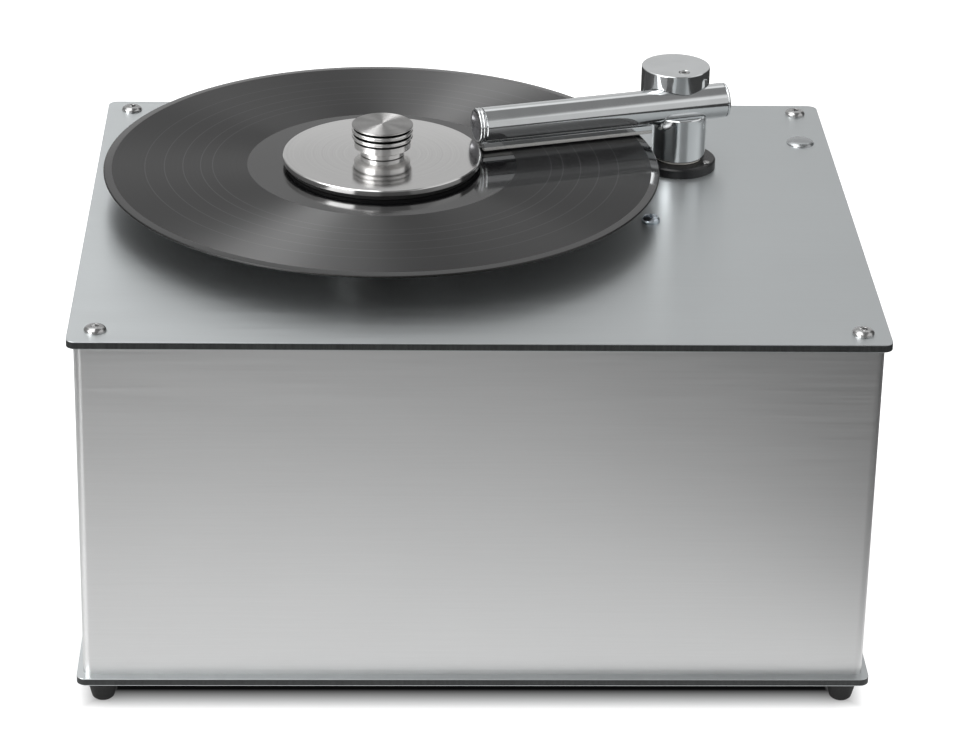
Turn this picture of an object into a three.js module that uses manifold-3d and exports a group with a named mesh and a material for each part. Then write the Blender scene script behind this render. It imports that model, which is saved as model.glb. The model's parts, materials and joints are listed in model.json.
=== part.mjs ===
// Record cleaning machine: a folded metal cabinet between two composite plates, a driven
// spindle with a screw clamp that holds a 12-inch record, and a swinging suction arm.
// Millimetres, +Z up, +X right, +Y to the back. The origin is the middle of the footprint
// on the surface that the feet stand on.
import * as THREE from 'three';
import { mergeVertices } from 'three/addons/utils/BufferGeometryUtils.js';
import Module from 'manifold-3d';

const wasm = await Module();
wasm.setup();

// Fits and helpers shared by every piece
const fitGap = 0.3;
const overrun = 1;
const weldTolerance = 1e-4;
const fineSides = 80;
const roundSides = 48;
const smallSides = 24;
const tinySides = 12;
const hexagonSides = 6;
const cornerSteps = 5;

// Cabinet
const plateWidth = 414;
const plateDepth = 332;
const plateThick = 4;
const plateCorner = 5;
const caseHeight = 189;
const sideInset = 3.2;
const frontInset = 5.2;
const wallThick = 3;
const foldRadius = 4.5;
const returnLip = 14;
const fixingInset = 14;

// Feet
const footInset = 13;
const footHeight = 14;
const footTopRadius = 9;
const footTipRadius = 6.2;
const footEdgeRound = 3;
const footRoundSteps = 3;
const footStudRadius = 2.5;
const footStudLength = 3.6;

// Corner screws and the posts that they pull on
const cornerHeadRadius = 5.8;
const buttonRimShare = 0.22;
const buttonDomeArc = THREE.MathUtils.degToRad(58);
const buttonDomeSteps = 4;
const cornerHeadHeight = 2.8;
const cornerSocketAcross = 4;
const cornerSocketDepth = 1.8;
const cornerShankRadius = 2.9;
const cornerShankLength = 14;
const postRadius = 4;

// Cross-recess screws that carry the suction unit
const panHeadRadius = 5;
const panHeadHeight = 3.4;
const panHeadShares = [[1, 0], [1, 0.45], [0.93, 0.72], [0.78, 0.9], [0.5, 1], [0, 1]];
const panRecessLength = 5.6;
const panRecessWidth = 1.1;
const panRecessDepth = 1.6;
const panShankRadius = 2.4;
const panShankLength = 12;

// Blind plug in the top plate
const plugSideInset = 16;
const plugRearInset = 59;
const plugRadius = 8;
const plugRise = 2.1;
const plugShares = [[1, 0], [0.97, 0.3], [0.86, 0.62], [0.64, 0.87], [0.34, 0.98], [0, 1]];
const plugStemRadius = 4.2;
const plugStemLength = 7;

// Record and spindle
const spindleX = -48.75;
const spindleY = 17.8;
const recordRadius = 150.8;
const recordHeight = 22.2;
const recordThick = 1.9;
const recordRimThick = 1.3;
const recordRimWidth = 4.5;
const recordHoleRadius = 3.65;
const matRadius = 49;
const matThick = 1.5;
const hubRadius = 50;
const hubThick = 7;
const hubNeckRadius = 14;
const hubNeckLength = 6;
const spindlePinRadius = 3.5;
const spindleThreadRadius = 3;
const spindleThreadLength = 18;
const shaftRadius = 6;
const shaftBelowPlate = 24;
const bearingFlangeRadius = 20;
const bearingFlangeThick = 2.6;
const bearingBodyRadius = 11;
const bearingBodyLength = 15;

// Clamp
const sealThick = 2.6;
const sealOuterRadius = 52;
const sealInnerRadius = 44;
const clampRadius = 54;
const clampThick = 3.4;
const clampBevel = 0.5;
const knobNeckRadius = 12;
const knobNeckHeight = 2.4;
const knobWaistRadius = 15.5;
const knobShoulderHeight = 4.2;
const knobWaistHeight = 7.7;
const knobRibRadius = 16.6;
const knobGrooveRadius = 14.9;
const knobGrooveDrop = 0.6;
const knobRibPitch = 3.4;
const knobRibCount = 3;
const knobSides = 40;
const knobRibLandShare = 0.26;
const knobCrownRadius = 15.8;
const knobCrownHeight = 16.9;
const knobCrownRise = 0.4;
const knobDishRadius = 6.8;
const knobDishDepth = 0.3;
const knobRoofThick = 2.6;

// Platter drive under the top plate
const couplerRadius = 9;
const couplerLength = 14;
const gearboxWidth = 62;
const gearboxDepth = 46;
const gearboxHeight = 26;
const gearboxCorner = 5;
const gearboxShaftRadius = 3;
const gearboxShaftInside = 14;
const motorRadius = 18.5;
const motorLengthShare = 0.28;
const motorShiftX = 9;
const bracketWidth = 96;
const bracketDepth = 52;
const bracketThick = 2.5;
const bracketLegWidth = 12;

// Suction arm
const towerX = 117.8;
const towerY = 72.2;
const armAngle = THREE.MathUtils.degToRad(16.6);
const flangeRadius = 21;
const flangeThick = 5.3;
const flangeEdge = 0.8;
const flangeScrewCircle = 17.5;
const flangeScrewRadius = 2.2;
const flangeScrewShank = 1.32;
const flangeScrewRise = 0.5;
const flangeScrewSocket = 1.25;
const flangeScrewSocketDepth = 0.9;
const flangeScrewLength = 8;
const flangeScrewCount = 3;
const flangeScrewStart = THREE.MathUtils.degToRad(-32);
const pillarRadius = 12;
const pillarBore = 8;
const pillarTop = 14.6;
const pillarBelowPlate = 26;
const pillarCollarRadius = 15;
const pillarCollarThick = 4;
const bushWall = 0.9;
const bushTop = 21;
const columnRadius = 15;
const columnBottom = 7;
const columnDeck = 24.2;
const columnTop = 32;
const columnEdge = 0.5;
const portRadius = 5;
const springCoilRadius = 9.6;
const springWireRadius = 0.7;
const springTurns = 4;
const springEndGap = 0.9;
const springStepsPerTurn = 8;
const springSides = 5;
const armHeight = 36.6;
const tubeRadius = 9.75;
const tubeWall = 1.2;
const tipClampRoom = 1.14;
const armTail = 26.7;
const tipCapRings = 2;
const tipCapRingWidth = 1.75;
const tailCapRings = 1;
const tailCapRingWidth = 1.3;
const capRingEdge = 0.35;
const endCapPlug = 5;
const dishRadius = 8.7;
const dishDepth = 2;
const dishSteps = 4;
const armCapRadius = 19.1;
const armCapTop = 55.1;
const armCapShift = 12.7;
const armCapAlong = 1.5;
const armCapEdge = 0.35;
const capScrewAlong = 2;
const capScrewBehind = 1.2;
const capScrewRadius = 2.8;
const capScrewSeat = 2.6;
const capScrewRise = 2.2;
const capScrewSocket = 1.45;
const capScrewSocketDepth = 1.2;

// Suction lip under the arm tube
const lipGap = 0.85;
const lipWidth = 10.4;
const lipStart = 3.1;
const lipColumnRoom = 3.2;
const lipEndLand = 4;
const slotWidth = 3.4;
const railEdgeThick = 2.6;
const velvetThick = 2;

// Suction unit and tank inside the cabinet
const unitX = 61.5;
const unitY = 21;
const unitScrewSpanX = 70;
const unitScrewSpanY = 60;
const unitFlangeMargin = 9;
const unitFlangeThick = 3;
const unitNeckRadius = 36;
const unitNeckLength = 42;
const fanHousingRadius = 52;
const fanHousingHeight = 46;
const fanHousingWall = 3;
const fanInletRadius = 8;
const fanRadius = 42;
const fanHubRadius = 9;
const fanDiscThick = 2;
const fanBladeHeight = 12;
const fanBladeThick = 2;
const fanBladeCount = 8;
const fanShaftRadius = 3;
const fanShaftLength = 14;
const tankWidth = 236;
const tankHeightShare = 0.28;
const tankSideRoom = 16;
const tankFrontRoom = 86;
const tankRearRoom = 19;
const tankWall = 3;
const tankCorner = 12;
const tankBedGap = 0.3;
const lidThick = 3;
const lidSpigotRadius = 9;
const lidSpigotHeight = 8;
const lidSpigotBore = 6.5;
const hoseWall = 2;
const hoseBow = 7;
const hoseShares = [[0, 0], [0.06, 0], [0.12, 0], [0.5, 1], [0.88, 0], [0.94, 0], [1, 0]];
const hoseSteps = 8;
const hoseSides = 16;

// Drain, sockets and grille on the rear panel
const drainX = 120;
const drainRise = 12;
const drainRadius = 4.5;
const drainBore = 2.6;
const drainNutRadius = 9;
const drainNutThick = 2.5;
const drainCapRadius = 7.4;
const drainCapLength = 4.5;
const drainCapWall = 1.4;
const drainTipLength = 3.4;
const inletSideInset = 63.8;
const inletRise = 62;
const inletFlangeWidth = 48;
const inletFlangeHeight = 30;
const inletFlangeThick = 2;
const inletBodyWidth = 29;
const inletBodyHeight = 22;
const inletBodyDepth = 20;
const inletSocketWidth = 24;
const inletSocketHeight = 16.5;
const inletSocketDepth = 15;
const inletPinPitch = 7;
const inletPinRise = 2;
const inletPinWidth = 1.8;
const inletPinHeight = 4;
const inletPinLength = 9;
const inletCorner = 3;
const grilleX = 60;
const grilleRise = 120;
const grilleWidth = 84;
const grilleHeight = 60;
const grilleThick = 1.6;
const grilleCorner = 4;
const grilleSlots = 9;
const grilleSlotWidth = 3;
const grilleMargin = 7;

// Rocker switches on the right side
const switchFrontInset = 49;
const switchRise = 150;
const switchPitch = 26;
const bezelWidth = 54;
const bezelHeight = 30;
const bezelProud = 1.4;
const bezelCorner = 2.5;
const bezelFloorThick = 2;
const bezelBodyMargin = 3;
const rockerWidth = 14;
const rockerRadius = 10.2;
const rockerPivotDepth = 6;
const rockerFaceRise = 1.2;
const suctionRockerTilt = THREE.MathUtils.degToRad(9);
const rockerFaceDip = 1.1;
const rockerBackShare = 0.5;
const rockerFaceShare = 0.62;
const rockerSwingRoom = 1.6;
const rockerBackDepth = 5;
const rockerArcSteps = 5;

// Heights that follow from the stack of plates
const baseTopZ = footHeight + plateThick;
const plateTopZ = baseTopZ + caseHeight + plateThick;
const plateUnderZ = plateTopZ - plateThick;
const recordTopZ = plateTopZ + recordHeight;
const recordUnderZ = recordTopZ - recordThick;
const caseWidth = plateWidth - sideInset * 2;
const caseDepth = plateDepth - frontInset * 2;
const rearFaceY = caseDepth / 2;
const wallInnerX = caseWidth / 2 - wallThick;
const wallInnerY = caseDepth / 2 - wallThick;
const plugX = plateWidth / 2 - plugSideInset;
const plugY = plateDepth / 2 - plugRearInset;
const switchY = -caseDepth / 2 + switchFrontInset;
const inletX = inletSideInset - caseWidth / 2;
const motorLength = caseHeight * motorLengthShare;
const tankHeight = caseHeight * tankHeightShare;
const tankDepth = wallInnerY * 2 - tankFrontRoom - tankRearRoom;
const tankX = wallInnerX - tankSideRoom - tankWidth / 2;
const tankY = wallInnerY - tankRearRoom - tankDepth / 2;
const rearOverhang = Math.max(0, spindleY + recordRadius - plateDepth / 2);

// The arm's tip stops just short of the clamp's rim, and the lip just short of the column
const towerToSpindle = new THREE.Vector2(spindleX - towerX, spindleY - towerY);
const armDirection = new THREE.Vector2(-Math.cos(armAngle), -Math.sin(armAngle));
const spindleAlong = towerToSpindle.dot(armDirection);
const spindleAside = towerToSpindle.cross(armDirection);
const armReach = spindleAlong - Math.sqrt((clampRadius + tipClampRoom) ** 2 - spindleAside ** 2);
const lipLength = armReach - lipStart - lipColumnRoom - columnRadius;

// Surface finishes
function finish(color, roughness, metalness) {
  return new THREE.MeshStandardMaterial({ color, roughness, metalness });
}
const brushedAluminium = () => finish(0xb9bdbf, 0.38, 1);
const polishedAluminium = () => finish(0xd3d6d8, 0.12, 1);
const turnedAluminium = () => finish(0xb4b6b7, 0.28, 1);
const zincSteel = () => finish(0xaab4bd, 0.3, 1);
const stainlessSteel = () => finish(0xc4c6c8, 0.22, 1);
const blackRubber = () => finish(0x151515, 0.85, 0);
const blackPlastic = () => finish(0x101011, 0.45, 0);
const blackVinyl = () => finish(0x0c0c0d, 0.2, 0);
const paleVelvet = () => finish(0xb9b9b6, 0.95, 0);
const whitePolymer = () => finish(0xe4e2dc, 0.5, 0);
const clearHose = () => finish(0xc9cdcc, 0.35, 0);
const motorSteel = () => finish(0x7d8083, 0.45, 0.8);
const brassAlloy = () => finish(0xb3924c, 0.35, 1);

// Solids
function signedVolume(position, index) {
  const a = new THREE.Vector3();
  const b = new THREE.Vector3();
  const c = new THREE.Vector3();
  let total = 0;
  for (let i = 0; i < index.length; i += 3) {
    a.fromBufferAttribute(position, index[i]);
    b.fromBufferAttribute(position, index[i + 1]);
    c.fromBufferAttribute(position, index[i + 2]);
    total += a.dot(b.cross(c));
  }
  return total;
}

// A closed mesh with shared corners, no empty triangles and its faces pointing out
function closed(geometry) {
  const bare = geometry.clone();
  bare.deleteAttribute('normal');
  bare.deleteAttribute('uv');
  const merged = mergeVertices(bare, weldTolerance);
  const source = merged.index.array;
  const kept = [];
  for (let i = 0; i < source.length; i += 3) {
    const [p, q, r] = [source[i], source[i + 1], source[i + 2]];
    if (p !== q && q !== r && r !== p) kept.push(p, q, r);
  }
  if (signedVolume(merged.attributes.position, kept) < 0) kept.reverse();
  merged.setIndex(kept);
  return merged;
}

function toSolid(geometry) {
  const tidy = closed(geometry);
  return new wasm.Manifold(new wasm.Mesh({
    numProp: 3,
    vertProperties: new Float32Array(tidy.attributes.position.array),
    triVerts: new Uint32Array(tidy.index.array),
  }));
}

function toGeometry(solid) {
  const mesh = solid.getMesh();
  const geometry = new THREE.BufferGeometry();
  const places = new Float32Array(mesh.vertProperties);
  geometry.setAttribute('position', new THREE.BufferAttribute(places, 3));
  geometry.setIndex(Array.from(mesh.triVerts));
  return geometry;
}

// A body with other bodies cut away
function cut(body, ...tools) {
  let result = toSolid(body);
  for (const tool of tools) result = result.subtract(toSolid(tool));
  return toGeometry(result);
}

// Bodies joined into one
function join(first, ...others) {
  let result = toSolid(first);
  for (const other of others) result = result.add(toSolid(other));
  return toGeometry(result);
}

// A turned body about the Z axis; a profile that leaves the axis is closed on itself
function turned(profile, sides = smallSides) {
  const points = profile.map(([r, z]) => new THREE.Vector2(r, z));
  const onAxis = points[0].x === 0 && points[points.length - 1].x === 0;
  if (!onAxis) points.push(points[0].clone());
  return new THREE.LatheGeometry(points, sides).rotateX(Math.PI / 2);
}

function rod(radius, bottom, top, sides = smallSides) {
  return turned([[0, bottom], [radius, bottom], [radius, top], [0, top]], sides);
}

function ring(inner, outer, bottom, top, sides = smallSides) {
  return turned([[inner, bottom], [outer, bottom], [outer, top], [inner, top]], sides);
}

function block(width, depth, bottom, top) {
  return new THREE.BoxGeometry(width, depth, top - bottom).translate(0, 0, (top + bottom) / 2);
}

function roundedOutline(width, height, corner) {
  const shape = new THREE.Shape();
  const x = width / 2 - corner;
  const y = height / 2 - corner;
  shape.absarc(x, y, corner, 0, Math.PI / 2);
  shape.absarc(-x, y, corner, Math.PI / 2, Math.PI);
  shape.absarc(-x, -y, corner, Math.PI, Math.PI * 1.5);
  shape.absarc(x, -y, corner, Math.PI * 1.5, Math.PI * 2);
  shape.closePath();
  return shape;
}

function extruded(shape, depth, steps = cornerSteps) {
  return new THREE.ExtrudeGeometry(shape, { depth, bevelEnabled: false, curveSegments: steps });
}

function roundedBlock(width, depth, corner, bottom, top) {
  return extruded(roundedOutline(width, depth, corner), top - bottom).translate(0, 0, bottom);
}

function hexagon(across, bottom, top) {
  return rod(across / Math.sqrt(3), bottom, top, hexagonSides);
}

// The scene graph
const group = new THREE.Group();
const machine = new THREE.Group();
machine.position.y = -rearOverhang / 2;
group.add(machine);

function part(name, geometry, material, parent = machine, place = [0, 0, 0]) {
  const mesh = new THREE.Mesh(closed(geometry), material);
  mesh.name = name;
  mesh.position.set(...place);
  parent.add(mesh);
  return mesh;
}

// Places where something passes through a plate
function corners(inset) {
  const x = plateWidth / 2 - inset;
  const y = plateDepth / 2 - inset;
  return [['front_left', -x, -y], ['front_right', x, -y], ['rear_left', -x, y], ['rear_right', x, y]];
}
const cornerPlaces = corners(fixingInset);
const footPlaces = corners(footInset);
const unitScrewPlaces = [
  ['front_right', unitX + unitScrewSpanX / 2, unitY - unitScrewSpanY / 2],
  ['rear_left', unitX - unitScrewSpanX / 2, unitY + unitScrewSpanY / 2],
];

// Plates
function plateBody(bottom) {
  return roundedBlock(plateWidth, plateDepth, plateCorner, bottom, bottom + plateThick);
}

function drill(x, y, radius, bottom, top, sides = smallSides) {
  return rod(radius, bottom - overrun, top + overrun, sides).translate(x, y, 0);
}

function buildPlates() {
  const through = (x, y, radius, sides) => drill(x, y, radius, plateUnderZ, plateTopZ, sides);
  const holes = [
    through(spindleX, spindleY, bearingBodyRadius + fitGap),
    through(towerX, towerY, pillarRadius + fitGap),
    through(plugX, plugY, plugStemRadius + fitGap, tinySides),
    ...cornerPlaces.map(([, x, y]) => through(x, y, cornerShankRadius + fitGap, tinySides)),
    ...unitScrewPlaces.map(([, x, y]) => through(x, y, panShankRadius + fitGap, tinySides)),
    ...flangeScrewPlaces().map(([x, y]) => through(x, y, flangeScrewShank + fitGap, tinySides)),
  ];
  part('top_plate', cut(plateBody(plateUnderZ), ...holes), brushedAluminium());
  const studs = footPlaces.map(([, x, y]) => (
    drill(x, y, footStudRadius + fitGap, footHeight, baseTopZ, tinySides)));
  part('base_plate', cut(plateBody(footHeight), ...studs), brushedAluminium());
}

// The wrap: front and both sides folded from one sheet, with returns for the rear panel
function caseOutline(offset) {
  const x = caseWidth / 2 - offset;
  const front = -caseDepth / 2 + offset;
  const corner = foldRadius - offset;
  return { x, front, corner };
}

function buildCase() {
  const outer = caseOutline(0);
  const inner = caseOutline(wallThick);
  const back = rearFaceY - wallThick - fitGap;
  const shape = new THREE.Shape();
  shape.moveTo(-outer.x, back);
  shape.lineTo(-outer.x, outer.front + outer.corner);
  shape.absarc(-outer.x + outer.corner, outer.front + outer.corner, outer.corner,
    Math.PI, Math.PI * 1.5, false);
  shape.absarc(outer.x - outer.corner, outer.front + outer.corner, outer.corner,
    Math.PI * 1.5, Math.PI * 2, false);
  shape.lineTo(outer.x, back);
  shape.lineTo(outer.x - returnLip, back);
  shape.lineTo(outer.x - returnLip, back - wallThick);
  shape.lineTo(inner.x, back - wallThick);
  shape.absarc(inner.x - inner.corner, inner.front + inner.corner, inner.corner, 0, -Math.PI / 2, true);
  shape.absarc(-inner.x + inner.corner, inner.front + inner.corner, inner.corner,
    -Math.PI / 2, -Math.PI, true);
  shape.lineTo(-inner.x, back - wallThick);
  shape.lineTo(-outer.x + returnLip, back - wallThick);
  shape.lineTo(-outer.x + returnLip, back);
  shape.closePath();
  const wrap = extruded(shape, caseHeight).translate(0, 0, baseTopZ);
  const bodyWidth = bezelWidth - bezelBodyMargin * 2;
  const bodyHeight = bezelHeight - bezelBodyMargin * 2;
  const window = new THREE.BoxGeometry(wallThick + overrun * 2, bodyWidth + fitGap * 2,
    bodyHeight + fitGap * 2).translate(outer.x - wallThick / 2, switchY, switchRise);
  const posts = cornerPlaces.map(([, x, y]) => (
    drill(x, y, postRadius + fitGap, baseTopZ, plateUnderZ, tinySides)));
  part('case_shell', cut(wrap, window, ...posts), brushedAluminium());
}

function rearCutout(width, height, x, rise) {
  return new THREE.BoxGeometry(width, wallThick + overrun * 2, height)
    .translate(x, rearFaceY - wallThick / 2, rise);
}

function buildRearPanel() {
  const sheet = new THREE.BoxGeometry(caseWidth, wallThick, caseHeight)
    .translate(0, rearFaceY - wallThick / 2, baseTopZ + caseHeight / 2);
  const inletHole = rearCutout(inletBodyWidth + fitGap * 2, inletBodyHeight + fitGap * 2,
    inletX, inletRise);
  const grilleHole = rearCutout(grilleWidth - grilleMargin * 2, grilleHeight - grilleMargin * 2,
    grilleX, grilleRise);
  const behind = rearFaceY - wallThick - overrun;
  const drainHole = drainRod(drainRadius + fitGap, behind, rearFaceY + overrun);
  part('rear_panel', cut(sheet, inletHole, grilleHole, drainHole), brushedAluminium());
}

// Feet, corner posts and corner screws
function buildFeet() {
  const tip = Array.from({ length: footRoundSteps + 1 }, (_, i) => {
    const angle = (Math.PI / 2) * (i / footRoundSteps);
    return [
      footTipRadius - footEdgeRound + Math.sin(angle) * footEdgeRound,
      footEdgeRound - Math.cos(angle) * footEdgeRound,
    ];
  });
  const profile = [[0, 0], ...tip, [footTopRadius, footHeight], [footStudRadius, footHeight],
    [footStudRadius, footHeight + footStudLength], [0, footHeight + footStudLength]];
  for (const [name, x, y] of footPlaces) {
    part(`foot_${name}`, turned(profile, smallSides), blackRubber(), machine, [x, y, 0]);
  }
}

function buttonScrew() {
  const dome = Array.from({ length: buttonDomeSteps + 1 }, (_, i) => {
    const angle = buttonDomeArc * (i / buttonDomeSteps);
    const rise = Math.sin(angle) / Math.sin(buttonDomeArc);
    return [
      cornerHeadRadius * Math.cos(angle),
      cornerHeadHeight * (buttonRimShare + (1 - buttonRimShare) * rise),
    ];
  });
  const profile = [[0, -cornerShankLength], [cornerShankRadius, -cornerShankLength],
    [cornerShankRadius, 0], [cornerHeadRadius, 0], ...dome, [0, cornerHeadHeight]];
  const socketFloor = cornerHeadHeight - cornerSocketDepth;
  const socket = hexagon(cornerSocketAcross, socketFloor, cornerHeadHeight + overrun);
  return cut(turned(profile, smallSides), socket);
}

function buildCorners() {
  for (const [name, x, y] of cornerPlaces) {
    part(`plate_screw_${name}`, buttonScrew(), stainlessSteel(), machine, [x, y, plateTopZ]);
    const threadDepth = cornerShankLength - plateThick + fitGap;
    const boreBottom = caseHeight - threadDepth + overrun;
    const bore = drill(0, 0, cornerShankRadius + fitGap, boreBottom, caseHeight, tinySides);
    const post = cut(rod(postRadius, 0, caseHeight, tinySides), bore);
    part(`corner_post_${name}`, post, zincSteel(), machine, [x, y, baseTopZ]);
  }
}

// Cross-recess pan-head screws
function panScrew() {
  const head = panHeadShares.map(([across, up]) => [panHeadRadius * across, panHeadHeight * up]);
  const profile = [[0, -panShankLength], [panShankRadius, -panShankLength],
    [panShankRadius, 0], ...head];
  const top = panHeadHeight + overrun;
  const floor = panHeadHeight - panRecessDepth;
  const across = block(panRecessLength, panRecessWidth, floor, top);
  const along = block(panRecessWidth, panRecessLength, floor, top);
  return cut(turned(profile, smallSides), across, along);
}

function buildUnitScrews() {
  for (const [name, x, y] of unitScrewPlaces) {
    part(`unit_screw_${name}`, panScrew(), zincSteel(), machine, [x, y, plateTopZ]);
  }
}

function buildPlug() {
  const dome = plugShares.map(([across, up]) => [plugRadius * across, plugRise * up]);
  const profile = [[0, -plugStemLength], [plugStemRadius, -plugStemLength],
    [plugStemRadius, 0], ...dome];
  const place = [plugX, plugY, plateTopZ];
  part('blind_plug', turned(profile, smallSides), polishedAluminium(), machine, place);
}

// Spindle, hub, record and clamp
const spindle = new THREE.Group();
spindle.position.set(spindleX, spindleY, 0);
machine.add(spindle);
const hubTopZ = recordUnderZ - matThick;
const hubUnderZ = hubTopZ - hubThick;
const clampUnderZ = recordTopZ + sealThick;
const clampTopZ = clampUnderZ + clampThick;

function buildSpindle() {
  const bearingTop = plateTopZ + bearingFlangeThick;
  const bearingBottom = plateTopZ - bearingBodyLength;
  const bearing = turned([
    [shaftRadius + fitGap, bearingBottom], [bearingBodyRadius, bearingBottom],
    [bearingBodyRadius, plateTopZ], [bearingFlangeRadius, plateTopZ],
    [bearingFlangeRadius, bearingTop], [shaftRadius + fitGap, bearingTop]], roundSides);
  part('spindle_bearing', bearing, brassAlloy(), spindle);
  const pinTop = recordTopZ + fitGap;
  const threadTop = pinTop + spindleThreadLength;
  const shaft = turned([[0, plateTopZ - shaftBelowPlate], [shaftRadius, plateTopZ - shaftBelowPlate],
    [shaftRadius, hubTopZ - hubThick / 2], [spindlePinRadius, hubTopZ - hubThick / 2],
    [spindlePinRadius, pinTop], [spindleThreadRadius, pinTop],
    [spindleThreadRadius, threadTop - spindleThreadRadius / 2], [spindleThreadRadius / 2, threadTop],
    [0, threadTop]], smallSides);
  part('spindle_shaft', shaft, stainlessSteel(), spindle);
  const hub = turned([[shaftRadius + fitGap, hubUnderZ - hubNeckLength],
    [hubNeckRadius, hubUnderZ - hubNeckLength], [hubNeckRadius, hubUnderZ], [hubRadius, hubUnderZ],
    [hubRadius, hubTopZ], [spindlePinRadius + fitGap, hubTopZ],
    [spindlePinRadius + fitGap, hubTopZ - hubThick / 2 + fitGap],
    [shaftRadius + fitGap, hubTopZ - hubThick / 2 + fitGap]], roundSides);
  part('platter_hub', hub, turnedAluminium(), spindle);
  const mat = ring(spindlePinRadius + fitGap, matRadius, hubTopZ, recordUnderZ, roundSides);
  part('hub_mat', mat, blackRubber(), spindle);
}

function buildRecord() {
  const rimDrop = (recordThick - recordRimThick) / 2;
  const flatRadius = recordRadius - recordRimWidth;
  const profile = [[recordHoleRadius, recordUnderZ], [flatRadius, recordUnderZ],
    [recordRadius, recordUnderZ + rimDrop], [recordRadius, recordTopZ - rimDrop],
    [flatRadius, recordTopZ], [recordHoleRadius, recordTopZ]];
  part('record_disc', turned(profile, fineSides), blackVinyl(), spindle);
}

function buildClamp() {
  part('clamp_seal', ring(sealInnerRadius, sealOuterRadius, recordTopZ, clampUnderZ, roundSides),
    blackRubber(), spindle);
  const plate = turned([[spindlePinRadius + fitGap, clampUnderZ], [clampRadius, clampUnderZ],
    [clampRadius, clampTopZ - clampBevel], [clampRadius - clampBevel, clampTopZ],
    [spindlePinRadius + fitGap, clampTopZ]], fineSides);
  part('clamp_plate', plate, polishedAluminium(), spindle);
}

// Grooves and ribs of the knob; the last rib runs into the edge of the crown
function ribProfile() {
  const points = [];
  const land = knobRibPitch * knobRibLandShare;
  const crownEdge = knobCrownHeight - (knobRibRadius - knobCrownRadius);
  for (let i = 0; i < knobRibCount; i += 1) {
    const low = knobWaistHeight + knobGrooveDrop + knobRibPitch * i;
    const middle = low + knobRibPitch / 2;
    const last = i === knobRibCount - 1;
    points.push([knobGrooveRadius, low], [knobRibRadius, middle - land]);
    points.push([knobRibRadius, last ? crownEdge : middle + land]);
  }
  return points;
}

function buildKnob() {
  const boreRadius = spindleThreadRadius + fitGap;
  const top = knobCrownHeight + knobCrownRise;
  const boreTop = top - knobRoofThick;
  const profile = [[boreRadius, 0], [knobNeckRadius, 0], [knobNeckRadius, knobNeckHeight],
    [knobWaistRadius, knobShoulderHeight], [knobWaistRadius, knobWaistHeight], ...ribProfile(),
    [knobCrownRadius, knobCrownHeight], [knobDishRadius, top], [0, top - knobDishDepth],
    [0, boreTop], [boreRadius, boreTop]];
  const points = profile.map(([r, z]) => new THREE.Vector2(r, z));
  const start = points.findIndex((p) => p.x === 0);
  const loop = [...points.slice(start + 1), ...points.slice(0, start + 1)];
  const body = new THREE.LatheGeometry(loop, knobSides).rotateX(Math.PI / 2);
  part('clamp_knob', body, turnedAluminium(), spindle, [0, 0, clampTopZ + fitGap]);
}

// Platter drive
function buildDrive() {
  const couplerTop = plateTopZ - shaftBelowPlate + couplerLength / 2;
  const couplerBottom = couplerTop - couplerLength;
  const gearboxTop = couplerBottom - fitGap - bracketThick;
  const split = plateTopZ - shaftBelowPlate;
  const coupler = turned([[gearboxShaftRadius + fitGap, couplerBottom], [couplerRadius, couplerBottom],
    [couplerRadius, couplerTop], [shaftRadius + fitGap, couplerTop],
    [shaftRadius + fitGap, split - fitGap], [gearboxShaftRadius + fitGap, split - fitGap]], smallSides);
  part('drive_coupler', coupler, zincSteel(), spindle);
  const shaftTop = split - fitGap * 2;
  const shaftBottom = gearboxTop - gearboxShaftInside;
  const gearboxBottom = gearboxTop - gearboxHeight;
  const box = roundedBlock(gearboxWidth, gearboxDepth, gearboxCorner, gearboxBottom, gearboxTop)
    .translate(motorShiftX, 0, 0);
  const can = rod(motorRadius, gearboxBottom - motorLength, gearboxBottom + overrun)
    .translate(motorShiftX * 2, 0, 0);
  const well = rod(gearboxShaftRadius + fitGap, shaftBottom - fitGap, gearboxTop + overrun, tinySides);
  part('gear_motor', cut(join(box, can), well), motorSteel(), spindle);
  const shaft = rod(gearboxShaftRadius, shaftBottom, shaftTop, tinySides);
  part('gearbox_shaft', shaft, stainlessSteel(), spindle);
  const deckTop = gearboxTop + bracketThick;
  const deck = block(bracketWidth, bracketDepth, gearboxTop, deckTop).translate(motorShiftX, 0, 0);
  const legs = [-1, 1].map((side) => block(bracketLegWidth, bracketDepth, gearboxTop, plateUnderZ)
    .translate(motorShiftX + side * (bracketWidth - bracketLegWidth) / 2, 0, 0));
  const clear = drill(0, 0, couplerRadius + fitGap, gearboxTop, deckTop);
  part('motor_bracket', cut(join(deck, ...legs), clear), zincSteel(), spindle);
}

// Suction arm
const tower = new THREE.Group();
tower.position.set(towerX, towerY, plateTopZ);
machine.add(tower);
const arm = new THREE.Group();
arm.rotation.z = armAngle;
tower.add(arm);
const tipCapThick = tipCapRings * tipCapRingWidth;
const tailCapThick = tailCapRings * tailCapRingWidth;

function flangeScrewPlaces(x = towerX, y = towerY) {
  return Array.from({ length: flangeScrewCount }, (_, i) => {
    const angle = flangeScrewStart + (Math.PI * 2 * i) / flangeScrewCount;
    return [x + Math.cos(angle) * flangeScrewCircle, y + Math.sin(angle) * flangeScrewCircle];
  });
}

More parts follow.
